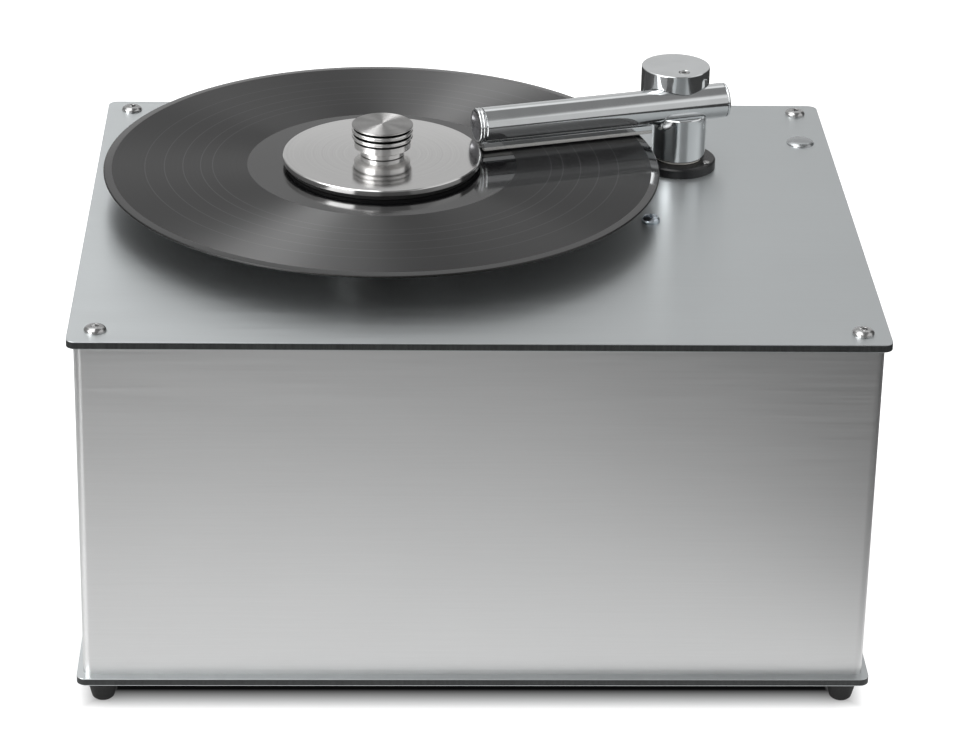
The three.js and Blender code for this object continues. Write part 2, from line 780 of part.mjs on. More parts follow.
function buildTower() {
  const flange = turned([[pillarRadius + fitGap, 0], [flangeRadius, 0],
    [flangeRadius, flangeThick - flangeEdge], [flangeRadius - flangeEdge, flangeThick],
    [pillarRadius + fitGap, flangeThick]], roundSides);
  const sunk = flangeScrewPlaces(0, 0).flatMap(([x, y]) => [
    drill(x, y, flangeScrewRadius + fitGap, flangeThick - flangeScrewRise, flangeThick, tinySides),
    drill(x, y, flangeScrewShank + fitGap, 0, flangeThick, tinySides),
  ]);
  part('arm_flange', cut(flange, ...sunk), blackPlastic(), tower);
  const headTop = flangeThick + flangeScrewRise;
  const screwEnd = headTop - flangeScrewLength;
  const seat = flangeThick - flangeScrewRise - overrun + fitGap;
  flangeScrewPlaces(0, 0).forEach(([x, y], i) => {
    const body = turned([[0, screwEnd], [flangeScrewShank, screwEnd], [flangeScrewShank, seat],
      [flangeScrewRadius, seat], [flangeScrewRadius, headTop], [0, headTop]], tinySides);
    const socket = hexagon(flangeScrewSocket * 2, headTop - flangeScrewSocketDepth, headTop + overrun);
    part(`flange_screw_${i + 1}`, cut(body, socket), stainlessSteel(), tower, [x, y, 0]);
  });
  const pillar = turned([[pillarBore, -pillarBelowPlate], [pillarRadius, -pillarBelowPlate],
    [pillarRadius, -plateThick - fitGap - pillarCollarThick],
    [pillarCollarRadius, -plateThick - fitGap - pillarCollarThick],
    [pillarCollarRadius, -plateThick - fitGap], [pillarRadius, -plateThick - fitGap],
    [pillarRadius, pillarTop], [pillarBore, pillarTop]], roundSides);
  part('arm_pillar', pillar, stainlessSteel(), tower);
  const bushInner = pillarRadius + fitGap;
  part('arm_bush', ring(bushInner, bushInner + bushWall, flangeThick + fitGap, bushTop, roundSides),
    whitePolymer(), tower);
}

function helix(bottom, top, radius, turns, steps) {
  const count = turns * steps;
  const points = Array.from({ length: count + 1 }, (_, i) => {
    const angle = (i / steps) * Math.PI * 2;
    return new THREE.Vector3(Math.cos(angle) * radius, Math.sin(angle) * radius,
      bottom + (top - bottom) * (i / count));
  });
  return new THREE.CatmullRomCurve3(points);
}

function circleShape(radius, sides) {
  const shape = new THREE.Shape();
  for (let i = 0; i < sides; i += 1) {
    const angle = (i / sides) * Math.PI * 2;
    const x = Math.cos(angle) * radius;
    const y = Math.sin(angle) * radius;
    if (i === 0) shape.moveTo(x, y);
    else shape.lineTo(x, y);
  }
  shape.closePath();
  return shape;
}

function buildSpring() {
  const bottom = pillarTop + fitGap + springWireRadius;
  const top = columnDeck - springEndGap - springWireRadius;
  const path = helix(bottom, top, springCoilRadius, springTurns, springStepsPerTurn);
  const wire = new THREE.ExtrudeGeometry(circleShape(springWireRadius, springSides), {
    steps: springTurns * springStepsPerTurn, bevelEnabled: false, extrudePath: path,
  });
  part('arm_spring', wire, stainlessSteel(), tower);
}

// The arm tube's own space, used to cut the saddles of its neighbours
function alongArm(geometry) {
  return geometry.rotateY(Math.PI / 2).translate(0, 0, armHeight);
}

function tubeSpace() {
  return alongArm(rod(tubeRadius + fitGap, -armReach - overrun, armTail + overrun, roundSides));
}

function buildColumn() {
  const inner = pillarRadius + fitGap * 2 + bushWall;
  const body = turned([[inner, columnBottom], [columnRadius - columnEdge, columnBottom],
    [columnRadius, columnBottom + columnEdge], [columnRadius, columnTop - columnEdge],
    [columnRadius - columnEdge, columnTop], [portRadius, columnTop], [portRadius, columnDeck],
    [inner, columnDeck]], roundSides);
  part('arm_column', cut(body, tubeSpace()), polishedAluminium(), arm);
}

function buildTube() {
  const start = -armReach + tipCapThick + fitGap;
  const end = armTail - tailCapThick - fitGap;
  const wall = alongArm(ring(tubeRadius - tubeWall, tubeRadius, start, end, roundSides));
  const slotStart = -armReach + lipStart + lipEndLand;
  const slotLength = lipLength - lipEndLand * 2;
  const low = armHeight - tubeRadius - overrun;
  const slot = block(slotLength, slotWidth, low, armHeight).translate(slotStart + slotLength / 2, 0, 0);
  const port = rod(portRadius, low, armHeight, smallSides);
  part('arm_tube', cut(wall, slot, port), polishedAluminium(), arm);
}

// A dished cap with one or more rounded rings outside the tube and a plug inside it
function endCap(face, direction, rings, ringWidth) {
  const thick = rings * ringWidth;
  const inner = tubeRadius - capRingEdge;
  const edges = Array.from({ length: rings }, (_, i) => [
    [inner, i * ringWidth], [tubeRadius, i * ringWidth + capRingEdge],
    [tubeRadius, (i + 1) * ringWidth - capRingEdge],
  ]).flat();
  const dish = Array.from({ length: dishSteps + 1 }, (_, i) => {
    const t = i / dishSteps;
    return [dishRadius * (1 - t), thick - dishDepth * (1 - (1 - t) ** 2)];
  });
  const insideRadius = tubeRadius - tubeWall - fitGap;
  const profile = [[0, -endCapPlug], [insideRadius, -endCapPlug], [insideRadius, 0],
    ...edges, [inner, thick], ...dish];
  const body = turned(profile, roundSides);
  if (direction < 0) body.rotateY(Math.PI);
  return alongArm(body).translate(face - direction * thick, 0, 0);
}

function buildArmEnds() {
  const tip = endCap(-armReach, -1, tipCapRings, tipCapRingWidth);
  part('tip_end_cap', tip, polishedAluminium(), arm);
  const tail = endCap(armTail, 1, tailCapRings, tailCapRingWidth);
  part('tail_end_cap', tail, polishedAluminium(), arm);
}

function buildArmCap() {
  const bottom = columnTop;
  const head = turned([[0, bottom], [armCapRadius - armCapEdge, bottom],
    [armCapRadius, bottom + armCapEdge], [armCapRadius, armCapTop - armCapEdge],
    [armCapRadius - armCapEdge, armCapTop], [0, armCapTop]], roundSides)
    .translate(armCapAlong, armCapShift, 0);
  const seatFloor = armCapTop - capScrewSeat + overrun;
  const seatRadius = capScrewRadius + fitGap;
  const seat = drill(capScrewAlong, capScrewBehind, seatRadius, seatFloor, armCapTop, tinySides);
  part('arm_cap', cut(head, tubeSpace(), seat), polishedAluminium(), arm);
  const bottomZ = armCapTop - capScrewSeat + fitGap;
  const screw = rod(capScrewRadius, bottomZ, bottomZ + capScrewRise, tinySides);
  const socket = hexagon(capScrewSocket * 2, bottomZ + capScrewRise - capScrewSocketDepth,
    bottomZ + capScrewRise + overrun);
  part('cap_screw', cut(screw, socket), stainlessSteel(), arm, [capScrewAlong, capScrewBehind, 0]);
}

function buildLip() {
  const velvetBottom = recordHeight + lipGap;
  const railBottom = velvetBottom + velvetThick;
  const middle = -armReach + lipStart + lipLength / 2;
  const rail = block(lipLength, lipWidth, railBottom, railBottom + railEdgeThick)
    .translate(middle, 0, 0);
  const slot = block(lipLength - lipEndLand * 2, slotWidth, railBottom - overrun, armHeight)
    .translate(middle, 0, 0);
  part('suction_rail', cut(rail, tubeSpace(), slot), polishedAluminium(), arm);
  const stripWidth = (lipWidth - slotWidth) / 2;
  const shift = (slotWidth + stripWidth) / 2;
  for (const [name, side] of [['front', -1], ['rear', 1]]) {
    const strip = block(lipLength, stripWidth, velvetBottom, velvetBottom + velvetThick);
    part(`velvet_strip_${name}`, strip.translate(middle, side * shift, 0), paleVelvet(), arm);
  }
}

// Suction unit: a motor over a fan housing that hangs from the top plate
const unit = new THREE.Group();
unit.position.set(unitX, unitY, plateUnderZ);
machine.add(unit);
const housingTop = -unitFlangeThick - unitNeckLength;
const housingBottom = housingTop - fanHousingHeight;

function buildUnit() {
  const flange = block(unitScrewSpanX + unitFlangeMargin * 2, unitScrewSpanY + unitFlangeMargin * 2,
    -unitFlangeThick, 0);
  const neck = rod(unitNeckRadius, housingTop - overrun, -unitFlangeThick / 2, smallSides);
  const housing = rod(fanHousingRadius, housingBottom, housingTop, roundSides);
  const cavity = rod(fanHousingRadius - fanHousingWall, housingBottom + fanHousingWall,
    housingTop - fanHousingWall, roundSides);
  const inletTop = housingBottom + fanHousingWall + overrun;
  const inlet = rod(fanInletRadius, housingBottom - overrun, inletTop, smallSides);
  const shaftWell = rod(fanShaftRadius + fitGap, housingTop - fanHousingWall - overrun,
    housingTop + fanShaftLength, tinySides);
  const screws = unitScrewPlaces.map(([, x, y]) => (
    drill(x - unitX, y - unitY, panShankRadius + fitGap, -unitFlangeThick, 0, tinySides)));
  const body = cut(join(flange, neck, housing), cavity, inlet, shaftWell, ...screws);
  part('suction_motor', body, motorSteel(), unit);
}

function buildFan() {
  const cavityTop = housingTop - fanHousingWall;
  const discTop = cavityTop - fanDiscThick;
  const discBottom = discTop - fanDiscThick;
  const disc = rod(fanRadius, discBottom, discTop, smallSides);
  const hub = rod(fanHubRadius, discBottom - fanBladeHeight, discTop, tinySides);
  const shaft = rod(fanShaftRadius, discTop - overrun, housingTop + fanShaftLength - fitGap, tinySides);
  const bladeX = (fanRadius + fanHubRadius) / 2 - fanBladeThick;
  const bladeZ = discBottom - (fanBladeHeight - overrun) / 2;
  const blades = Array.from({ length: fanBladeCount }, (_, i) => (
    new THREE.BoxGeometry(fanRadius - fanHubRadius, fanBladeThick, fanBladeHeight + overrun)
      .translate(bladeX, 0, bladeZ).rotateZ((Math.PI * 2 * i) / fanBladeCount)));
  part('suction_fan', join(disc, hub, shaft, ...blades), turnedAluminium(), unit);
}

// Waste tank on the base plate, its lid and the two hoses
const tankBottomZ = baseTopZ + tankBedGap;
const tankTopZ = tankBottomZ + tankHeight;
const lidTopZ = tankTopZ + fitGap + lidThick;
const lidPorts = [[towerX, towerY], [unitX, unitY]];

function drainRod(radius, from, to, sides = smallSides) {
  return rod(radius, from, to, sides).rotateX(-Math.PI / 2)
    .translate(drainX, 0, tankBottomZ + drainRise);
}

function buildTank() {
  const outside = roundedBlock(tankWidth, tankDepth, tankCorner, tankBottomZ, tankTopZ)
    .translate(tankX, tankY, 0);
  const inside = roundedBlock(tankWidth - tankWall * 2, tankDepth - tankWall * 2, tankCorner - tankWall,
    tankBottomZ + tankWall, tankTopZ + overrun).translate(tankX, tankY, 0);
  const rear = tankY + tankDepth / 2;
  const drain = drainRod(drainRadius + fitGap, rear - tankWall - overrun, rear + overrun);
  part('waste_tank', cut(outside, inside, drain), whitePolymer());
  const lidPlate = roundedBlock(tankWidth, tankDepth, tankCorner, tankTopZ + fitGap, lidTopZ)
    .translate(tankX, tankY, 0);
  const spigots = lidPorts.map(([x, y]) => rod(lidSpigotRadius, lidTopZ - lidThick / 2,
    lidTopZ + lidSpigotHeight, smallSides).translate(x, y, 0));
  const bores = lidPorts.map(([x, y]) => (
    drill(x, y, lidSpigotBore, tankTopZ, lidTopZ + lidSpigotHeight)));
  part('tank_lid', cut(join(lidPlate, ...spigots), ...bores), whitePolymer());
}

function hoseShape(outer, inner) {
  const shape = circleShape(outer, hoseSides);
  shape.holes.push(circleShape(inner, hoseSides));
  return shape;
}

function hose(name, x, y, top, parentMaterial, bow) {
  const inner = lidSpigotRadius + fitGap;
  const bottom = lidTopZ + fitGap;
  const rise = top - bottom;
  const points = hoseShares.map(([share, bowShare]) => (
    new THREE.Vector3(x + bow * bowShare, y, bottom + rise * share)));
  const geometry = new THREE.ExtrudeGeometry(hoseShape(inner + hoseWall, inner), {
    steps: hoseSteps, bevelEnabled: false, extrudePath: new THREE.CatmullRomCurve3(points),
  });
  part(name, geometry, parentMaterial);
}

function buildHoses() {
  hose('suction_hose', towerX, towerY, plateTopZ - pillarBelowPlate - fitGap, clearHose(), hoseBow);
  hose('unit_hose', unitX, unitY, plateUnderZ + housingBottom - fitGap, clearHose(), 0);
}

// Drain spigot through the rear panel, with its push-on cap
function buildDrain() {
  const start = tankY + tankDepth / 2 - tankWall;
  const tip = rearFaceY + drainNutThick + drainTipLength;
  const tube = drainRod(drainRadius, start, tip);
  const nut = drainRod(drainNutRadius, rearFaceY + fitGap, rearFaceY + fitGap + drainNutThick);
  const bore = drainRod(drainBore, start - overrun, tip + overrun, tinySides);
  part('drain_spigot', cut(join(tube, nut), bore), blackPlastic());
  const mouth = rearFaceY + drainNutThick + fitGap * 2;
  const cap = drainRod(drainCapRadius, mouth, mouth + drainCapLength);
  const well = drainRod(drainRadius + fitGap, mouth - overrun, mouth + drainCapLength - drainCapWall);
  part('drain_cap', cut(cap, well), blackRubber());
}

// Mains inlet and exhaust grille
function rearBlock(width, height, from, to) {
  return new THREE.BoxGeometry(width, to - from, height).translate(0, (from + to) / 2, 0);
}

function buildInlet() {
  const face = fitGap + inletFlangeThick;
  const outline = roundedOutline(inletFlangeWidth, inletFlangeHeight, inletCorner);
  const flange = extruded(outline, inletFlangeThick).rotateX(Math.PI / 2).translate(0, face, 0);
  const body = rearBlock(inletBodyWidth, inletBodyHeight, -inletBodyDepth, face - inletFlangeThick / 2);
  const floor = face - inletSocketDepth;
  const socket = rearBlock(inletSocketWidth, inletSocketHeight, floor, face + overrun);
  const pins = [-1, 0, 1].map((i) => rearBlock(inletPinWidth, inletPinHeight,
    floor - overrun, floor + inletPinLength)
    .translate(i * inletPinPitch, 0, i === 0 ? inletPinRise : -inletPinRise));
  part('mains_inlet', join(cut(join(flange, body), socket), ...pins), blackPlastic(), machine,
    [inletX, rearFaceY, inletRise]);
}

function buildGrille() {
  const sheet = extruded(roundedOutline(grilleWidth, grilleHeight, grilleCorner), grilleThick)
    .rotateX(Math.PI / 2).translate(0, grilleThick + fitGap, 0);
  const pitch = (grilleHeight - grilleMargin * 2) / grilleSlots;
  const slots = Array.from({ length: grilleSlots }, (_, i) => (
    rearBlock(grilleWidth - grilleMargin * 2, grilleSlotWidth, -overrun, grilleThick + fitGap + overrun)
      .translate(0, 0, (i - (grilleSlots - 1) / 2) * pitch)));
  const place = [grilleX, rearFaceY, grilleRise];
  part('exhaust_grille', cut(sheet, ...slots), blackPlastic(), machine, place);
}

// Rocker switches in one bezel on the right side
function sideBlock(width, height, from, to) {
  return new THREE.BoxGeometry(to - from, width, height).translate((from + to) / 2, 0, 0);
}

function buildSwitches() {
  const panel = new THREE.Group();
  panel.position.set(caseWidth / 2, switchY, switchRise);
  machine.add(panel);
  const bezel = extruded(roundedOutline(bezelHeight, bezelWidth, bezelCorner), bezelProud)
    .rotateY(Math.PI / 2).translate(fitGap, 0, 0);
  const bodyWidth = bezelWidth - bezelBodyMargin * 2;
  const bodyHeight = bezelHeight - bezelBodyMargin * 2;
  const floor = -rockerPivotDepth - rockerBackDepth - rockerSwingRoom;
  const body = sideBlock(bodyWidth, bodyHeight, floor - bezelFloorThick, fitGap * 2);
  const windowHeight = (rockerRadius + fitGap) * 2;
  const windows = [-1, 1].map((side) => sideBlock(rockerWidth + fitGap * 2, windowHeight, floor,
    bezelProud + fitGap + overrun).translate(0, side * switchPitch / 2, 0));
  part('switch_bezel', cut(join(bezel, body), ...windows), blackPlastic(), panel);
  const half = Math.asin((rockerPivotDepth + bezelProud) / rockerRadius);
  const arc = (from, to) => Array.from({ length: rockerArcSteps + 1 }, (_, i) => {
    const angle = from + (to - from) * (i / rockerArcSteps);
    return [Math.cos(angle) * rockerRadius, Math.sin(angle) * rockerRadius];
  });
  const shape = new THREE.Shape();
  const face = rockerPivotDepth + bezelProud + rockerFaceRise;
  const back = rockerRadius * rockerBackShare;
  const edge = rockerRadius * rockerFaceShare;
  const outline = [
    [-rockerBackDepth, -back], ...arc(-Math.PI / 2, -half), [face, -edge], [face - rockerFaceDip, 0],
    [face, edge], ...arc(half, Math.PI / 2), [-rockerBackDepth, back],
  ];
  outline.forEach(([x, y], i) => (i === 0 ? shape.moveTo(x, y) : shape.lineTo(x, y)));
  shape.closePath();
  for (const [name, side, tilt] of [['platter', -1, 0], ['suction', 1, suctionRockerTilt]]) {
    const rocker = extruded(shape, rockerWidth).translate(0, 0, -rockerWidth / 2)
      .rotateX(Math.PI / 2).rotateY(tilt);
    const place = [-rockerPivotDepth, side * switchPitch / 2, 0];
    part(`${name}_rocker`, rocker, blackPlastic(), panel, place);
  }
}

buildPlates();
buildCase();
buildRearPanel();
buildFeet();
buildCorners();
buildUnitScrews();
buildPlug();
buildSpindle();
buildRecord();
buildClamp();
buildKnob();
buildDrive();
buildTower();
buildSpring();
buildColumn();
buildTube();
buildArmEnds();
buildArmCap();
buildLip();
buildUnit();
buildFan();
buildTank();
buildHoses();
buildDrain();
buildInlet();
buildGrille();
buildSwitches();

export default group;
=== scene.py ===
import json
import math

import bmesh
import bpy
from mathutils import Matrix, Vector

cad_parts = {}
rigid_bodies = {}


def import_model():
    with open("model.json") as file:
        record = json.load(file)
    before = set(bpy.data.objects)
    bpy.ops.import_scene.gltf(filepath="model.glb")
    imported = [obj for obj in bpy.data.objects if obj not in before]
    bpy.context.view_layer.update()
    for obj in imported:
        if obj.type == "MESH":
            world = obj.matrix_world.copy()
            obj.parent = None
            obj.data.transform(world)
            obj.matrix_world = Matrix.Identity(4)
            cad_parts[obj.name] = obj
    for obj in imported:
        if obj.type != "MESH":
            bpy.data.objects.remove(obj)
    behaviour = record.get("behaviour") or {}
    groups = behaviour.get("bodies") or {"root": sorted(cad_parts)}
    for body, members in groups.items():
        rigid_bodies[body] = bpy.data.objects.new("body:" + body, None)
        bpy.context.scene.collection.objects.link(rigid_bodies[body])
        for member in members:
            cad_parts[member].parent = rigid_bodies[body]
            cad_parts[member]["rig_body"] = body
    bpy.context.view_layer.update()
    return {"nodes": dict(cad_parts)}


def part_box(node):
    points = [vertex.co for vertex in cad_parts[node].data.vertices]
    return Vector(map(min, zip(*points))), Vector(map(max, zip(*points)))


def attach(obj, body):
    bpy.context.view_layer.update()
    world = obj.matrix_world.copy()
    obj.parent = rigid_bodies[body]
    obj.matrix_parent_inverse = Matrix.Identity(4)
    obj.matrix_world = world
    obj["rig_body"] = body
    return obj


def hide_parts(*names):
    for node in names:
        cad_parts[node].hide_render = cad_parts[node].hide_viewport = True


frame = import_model()
nodes = frame["nodes"]

MM = 0.001

# Sides of turned pieces and steps of round corners
ROUND_SIDES = 192
FINE_SIDES = 288
FLOOR_SIDES = 64
CORNER_STEPS = 10
ROUNDING_STEPS = 4

# Faces that meet at less than these angles are merged, or shaded as one surface
FLAT_ANGLE = math.radians(0.4)
SMOOTH_ANGLE = math.radians(30)
KNOB_ANGLE = math.radians(35)
SOFT_ANGLE = math.radians(40)
FOOT_ANGLE = math.radians(45)
DISH_ANGLE = math.radians(50)
WELD_DISTANCE = 0.001 * MM

# Widths of softened edges
SMALL_SCREW_EDGE = 0.08 * MM
SCREW_EDGE = 0.1 * MM
SHEET_EDGE = 0.2 * MM
METAL_EDGE = 0.25 * MM
RUBBER_EDGE = 0.3 * MM
PILE_EDGE = 0.5 * MM
PILE_SEGMENTS = 3


# Shader helpers

class Tree:
    """A node tree with short ways to add, set and link nodes."""

    def __init__(self, tree):
        self.tree = tree

    def node(self, kind, **settings):
        made = self.tree.nodes.new(kind)
        for key, value in settings.items():
            setattr(made, key, value)
        return made

    def link(self, source, target):
        self.tree.links.new(source, target)

    def put(self, socket, value):
        if isinstance(value, bpy.types.NodeSocket):
            self.link(value, socket)
        else:
            socket.default_value = value

    def math(self, operation, a, b=0.0, c=0.0):
        made = self.node("ShaderNodeMath", operation=operation)
        for socket, value in zip(made.inputs, (a, b, c)):
            self.put(socket, value)
        return made.outputs["Value"]

    def remap(self, value, low, high, new_low=0.0, new_high=1.0):
        made = self.node("ShaderNodeMapRange")
        self.link(value, made.inputs["Value"])
        for key, number in zip(("From Min", "From Max", "To Min", "To Max"), (low, high, new_low, new_high)):
            made.inputs[key].default_value = number
        return made.outputs["Result"]

    def mix(self, factor, a, b):
        """Between two colours, each a socket or red, green and blue."""
        made = self.node("ShaderNodeMix", data_type="RGBA")
        factor_socket, a_socket, b_socket = made.inputs[0], made.inputs[6], made.inputs[7]
        self.put(factor_socket, factor)
        self.put(a_socket, (*a, 1) if isinstance(a, tuple) else a)
        self.put(b_socket, (*b, 1) if isinstance(b, tuple) else b)
        return made.outputs[2]

    def split(self, vector):
        made = self.node("ShaderNodeSeparateXYZ")
        self.link(vector, made.inputs["Vector"])
        return [made.outputs[axis] for axis in "XYZ"]

    def length(self, x, y):
        return self.math("SQRT", self.math("MULTIPLY_ADD", y, y, self.math("MULTIPLY", x, x)))


NOISE_RANGE = (0.3, 0.7)


class Shader(Tree):
    """A material and what its surface needs: places, noise, bump and tangents."""

    def __init__(self, name):
        self.material = bpy.data.materials.new(name)
        self.material.use_nodes = True
        super().__init__(self.material.node_tree)
        self.bsdf = self.tree.nodes["Principled BSDF"]
        self.output = self.tree.nodes["Material Output"]

    def set(self, **values):
        for key, value in values.items():
            self.put(self.bsdf.inputs[key.replace("_", " ")], value)

    def place(self):
        return self.node("ShaderNodeTexCoord").outputs["Object"]

    def streaks(self, axis, across, along):
        """Places for streaks along one axis (0 = X, 1 = Y, 2 = Z), so many per metre across and along."""
        mapping = self.node("ShaderNodeMapping")
        self.link(self.place(), mapping.inputs["Vector"])
        mapping.inputs["Scale"].default_value = [along if i == axis else across for i in range(3)]
        return mapping.outputs["Vector"]

    def radius(self):
        return self.length(*self.split(self.place())[:2])

    def along_radius(self, scale):
        combine = self.node("ShaderNodeCombineXYZ")
        self.link(self.math("MULTIPLY", self.radius(), scale), combine.inputs["X"])
        return combine.outputs["Vector"]

    def noise(self, vector, scale=1.0, detail=2.0, roughness=0.5):
        made = self.node("ShaderNodeTexNoise")
        self.link(vector, made.inputs["Vector"])
        made.inputs["Scale"].default_value = scale
        made.inputs["Detail"].default_value = detail
        made.inputs["Roughness"].default_value = roughness
        return made.outputs["Fac"]

    def spread(self, noise, new_low=0.0, new_high=1.0):
        """Noise stretched from its usual range to a new one."""
        return self.remap(noise, *NOISE_RANGE, new_low, new_high)

    def bump(self, height, strength, distance):
        made = self.node("ShaderNodeBump")
        self.link(height, made.inputs["Height"])
        made.inputs["Strength"].default_value = strength
        made.inputs["Distance"].default_value = distance
        self.link(made.outputs["Normal"], self.bsdf.inputs["Normal"])

    def tangent(self, axis):
        made = self.node("ShaderNodeTangent", direction_type="RADIAL", axis=axis)
        self.link(made.outputs["Tangent"], self.bsdf.inputs["Tangent"])


def shaded(color, share):
    return tuple(channel * share for channel in color)


# Materials

def brushed(name, color, axis, tangent_axis, roughness, anisotropy):
    """Satin sheet with fine streaks along one axis (0 = X, 1 = Y, 2 = Z)."""
    streak_share, cloud_share, dark_share, change = 0.35, 0.3, 0.93, 0.07
    s = Shader(name)
    fine = s.noise(s.streaks(axis, across=9000.0, along=60.0), detail=3.0, roughness=0.6)
    coarse = s.noise(s.streaks(axis, across=900.0, along=14.0))
    clouds = s.math("MULTIPLY", s.noise(s.place(), scale=9.0), cloud_share)
    shade = s.math("MULTIPLY_ADD", s.math("ADD", fine, coarse), streak_share, clouds)
    s.set(Base_Color=s.mix(s.spread(shade), shaded(color, dark_share), color), Metallic=1.0)
    s.set(Roughness=s.spread(coarse, roughness * (1 - change), roughness * (1 + change)))
    s.set(Anisotropic=anisotropy)
    s.tangent(tangent_axis)
    s.bump(fine, strength=0.05, distance=0.02 * MM)
    return s.material


def polished(name, color, roughness, wear=0.03):
    """Bright polished metal with faint smears and hairlines."""
    smear_range, wear_range, hair_share, dark_share = (0.35, 0.65), (0.5, 0.9), 0.4, 0.94
    s = Shader(name)
    smear = s.noise(s.place(), scale=60.0, detail=3.0)
    hair = s.noise(s.streaks(0, across=6000.0, along=400.0))
    s.set(Base_Color=s.mix(s.remap(smear, *smear_range), shaded(color, dark_share), color), Metallic=1.0)
    worn = s.math("MULTIPLY_ADD", hair, hair_share, smear)
    s.set(Roughness=s.remap(worn, *wear_range, roughness, roughness + wear))
    s.bump(hair, strength=0.02, distance=0.01 * MM)
    return s.material


def turned(name, color, roughness, anisotropy=0.7, pitch=0.18 * MM):
    """Lathe-turned metal: fine rings about the piece's own Z axis."""
    dark_share, change, quarter_turn = 0.9, 0.15, 0.25
    s = Shader(name)
    rings = s.noise(s.along_radius(1.0 / pitch), detail=3.0, roughness=0.7)
    wide = s.noise(s.along_radius(900.0))
    s.set(Base_Color=s.mix(s.spread(wide), shaded(color, dark_share), color), Metallic=1.0)
    s.set(Roughness=s.spread(rings, roughness * (1 - change), roughness * (1 + change)))
    s.set(Anisotropic=anisotropy, Anisotropic_Rotation=quarter_turn)
    s.tangent("Z")
    s.bump(rings, strength=0.08, distance=0.02 * MM)
    return s.material


def moulded(name, color, roughness, grain=1500.0, strength=0.15, variation=0.12):
    """Moulded rubber or plastic with a fine grain and a slight change of tone."""
    lift, change = 0.02, 0.05
    s = Shader(name)
    small = s.noise(s.place(), grain, detail=3.0)
    large = s.noise(s.place(), scale=70.0, detail=3.0)
    light = tuple(min(1.0, channel * (1 + variation) + variation * lift) for channel in color)
    s.set(Base_Color=s.mix(s.spread(large), shaded(color, 1 - variation), light))
    s.set(Roughness=s.spread(small, roughness - change, min(1.0, roughness + change)))
    s.bump(small, strength, distance=0.08 * MM)
    return s.material


def composite_core():
    """Dark plastic core of the plates, with the marks of the saw."""
    dark, light = (0.012, 0.014, 0.014), (0.032, 0.035, 0.035)
    s = Shader("composite_core")
    marks = s.noise(s.streaks(2, across=1400.0, along=120.0), detail=3.0)
    s.set(Base_Color=s.mix(s.spread(marks), dark, light), Roughness=s.spread(marks, 0.4, 0.6))
    s.bump(marks, strength=0.2, distance=0.05 * MM)
    return s.material


# On the record: radii of the gaps between tracks and of the first and last groove, and the relief's pitch
GAP_RADII = [radius * MM for radius in (92.0, 98.5, 108.0, 118.0, 128.5)]
GAP_HALF_WIDTH = 0.28 * MM
GROOVES_START = 73.2 * MM
GROOVES_END = 146.3 * MM
GROOVE_WAVE = 0.6 * MM


def vinyl():
    """Grooved black record. The wide ring-shaped gloss stands for the two slanted walls of each groove."""
    dark, light, painted_gap_sheen = (0.002, 0.002, 0.0025), (0.006, 0.006, 0.0065), (0.06, 0.06, 0.063)
    fine_share, band_share, gap_sheen_share, fine_relief = 0.3, 0.7, 0.6, 0.5
    quarter_turn, plain_roughness = 0.25, 0.07
    s = Shader("black_vinyl")
    radius = s.radius()
    gaps = 0.0
    for gap in GAP_RADII:
        near = s.math("ABSOLUTE", s.math("SUBTRACT", radius, gap))
        gaps = s.math("MAXIMUM", gaps, s.math("LESS_THAN", near, GAP_HALF_WIDTH))
    inside = s.math("LESS_THAN", radius, GROOVES_END)
    grooved = s.math("MULTIPLY", s.math("GREATER_THAN", radius, GROOVES_START), inside)
    bands = s.noise(s.along_radius(700.0), detail=4.0, roughness=0.65)
    fine = s.noise(s.along_radius(5000.0), roughness=0.6)
    tone = s.math("MULTIPLY_ADD", fine, fine_share, s.math("MULTIPLY", bands, band_share))
    base = s.mix(s.spread(tone), dark, light)
    # Lighter rings at the gaps between tracks: painted sheen
    s.set(Base_Color=s.mix(s.math("MULTIPLY", gaps, gap_sheen_share), base, painted_gap_sheen))
    s.set(Roughness=s.math("MULTIPLY_ADD", grooved, s.spread(bands, 0.52, 0.62), plain_roughness))
    s.set(Anisotropic=1.0, Anisotropic_Rotation=quarter_turn, IOR=1.9)
    s.set(Coat_Weight=0.3, Coat_Roughness=0.04, Coat_IOR=1.45)
    s.tangent("Z")
    wave = s.math("SINE", s.math("MULTIPLY", radius, 2 * math.pi / GROOVE_WAVE))
    relief = s.math("MULTIPLY_ADD", fine, fine_relief, s.math("MULTIPLY", wave, grooved))
    s.bump(relief, strength=0.12, distance=0.02 * MM)
    return s.material


def velvet():
    """Pale pile with a soft sheen."""
    dark, light = (0.36, 0.36, 0.35), (0.62, 0.62, 0.6)
    s = Shader("pale_velvet")
    pile = s.noise(s.place(), scale=2600.0, detail=4.0, roughness=0.7)
    patch = s.noise(s.place(), scale=220.0, detail=3.0)
    s.set(Base_Color=s.mix(s.spread(pile), dark, light), Roughness=s.spread(patch, 0.85, 1.0))
    s.set(Sheen_Weight=0.6, Sheen_Roughness=0.4)
    s.bump(pile, strength=0.9, distance=0.3 * MM)
    return s.material


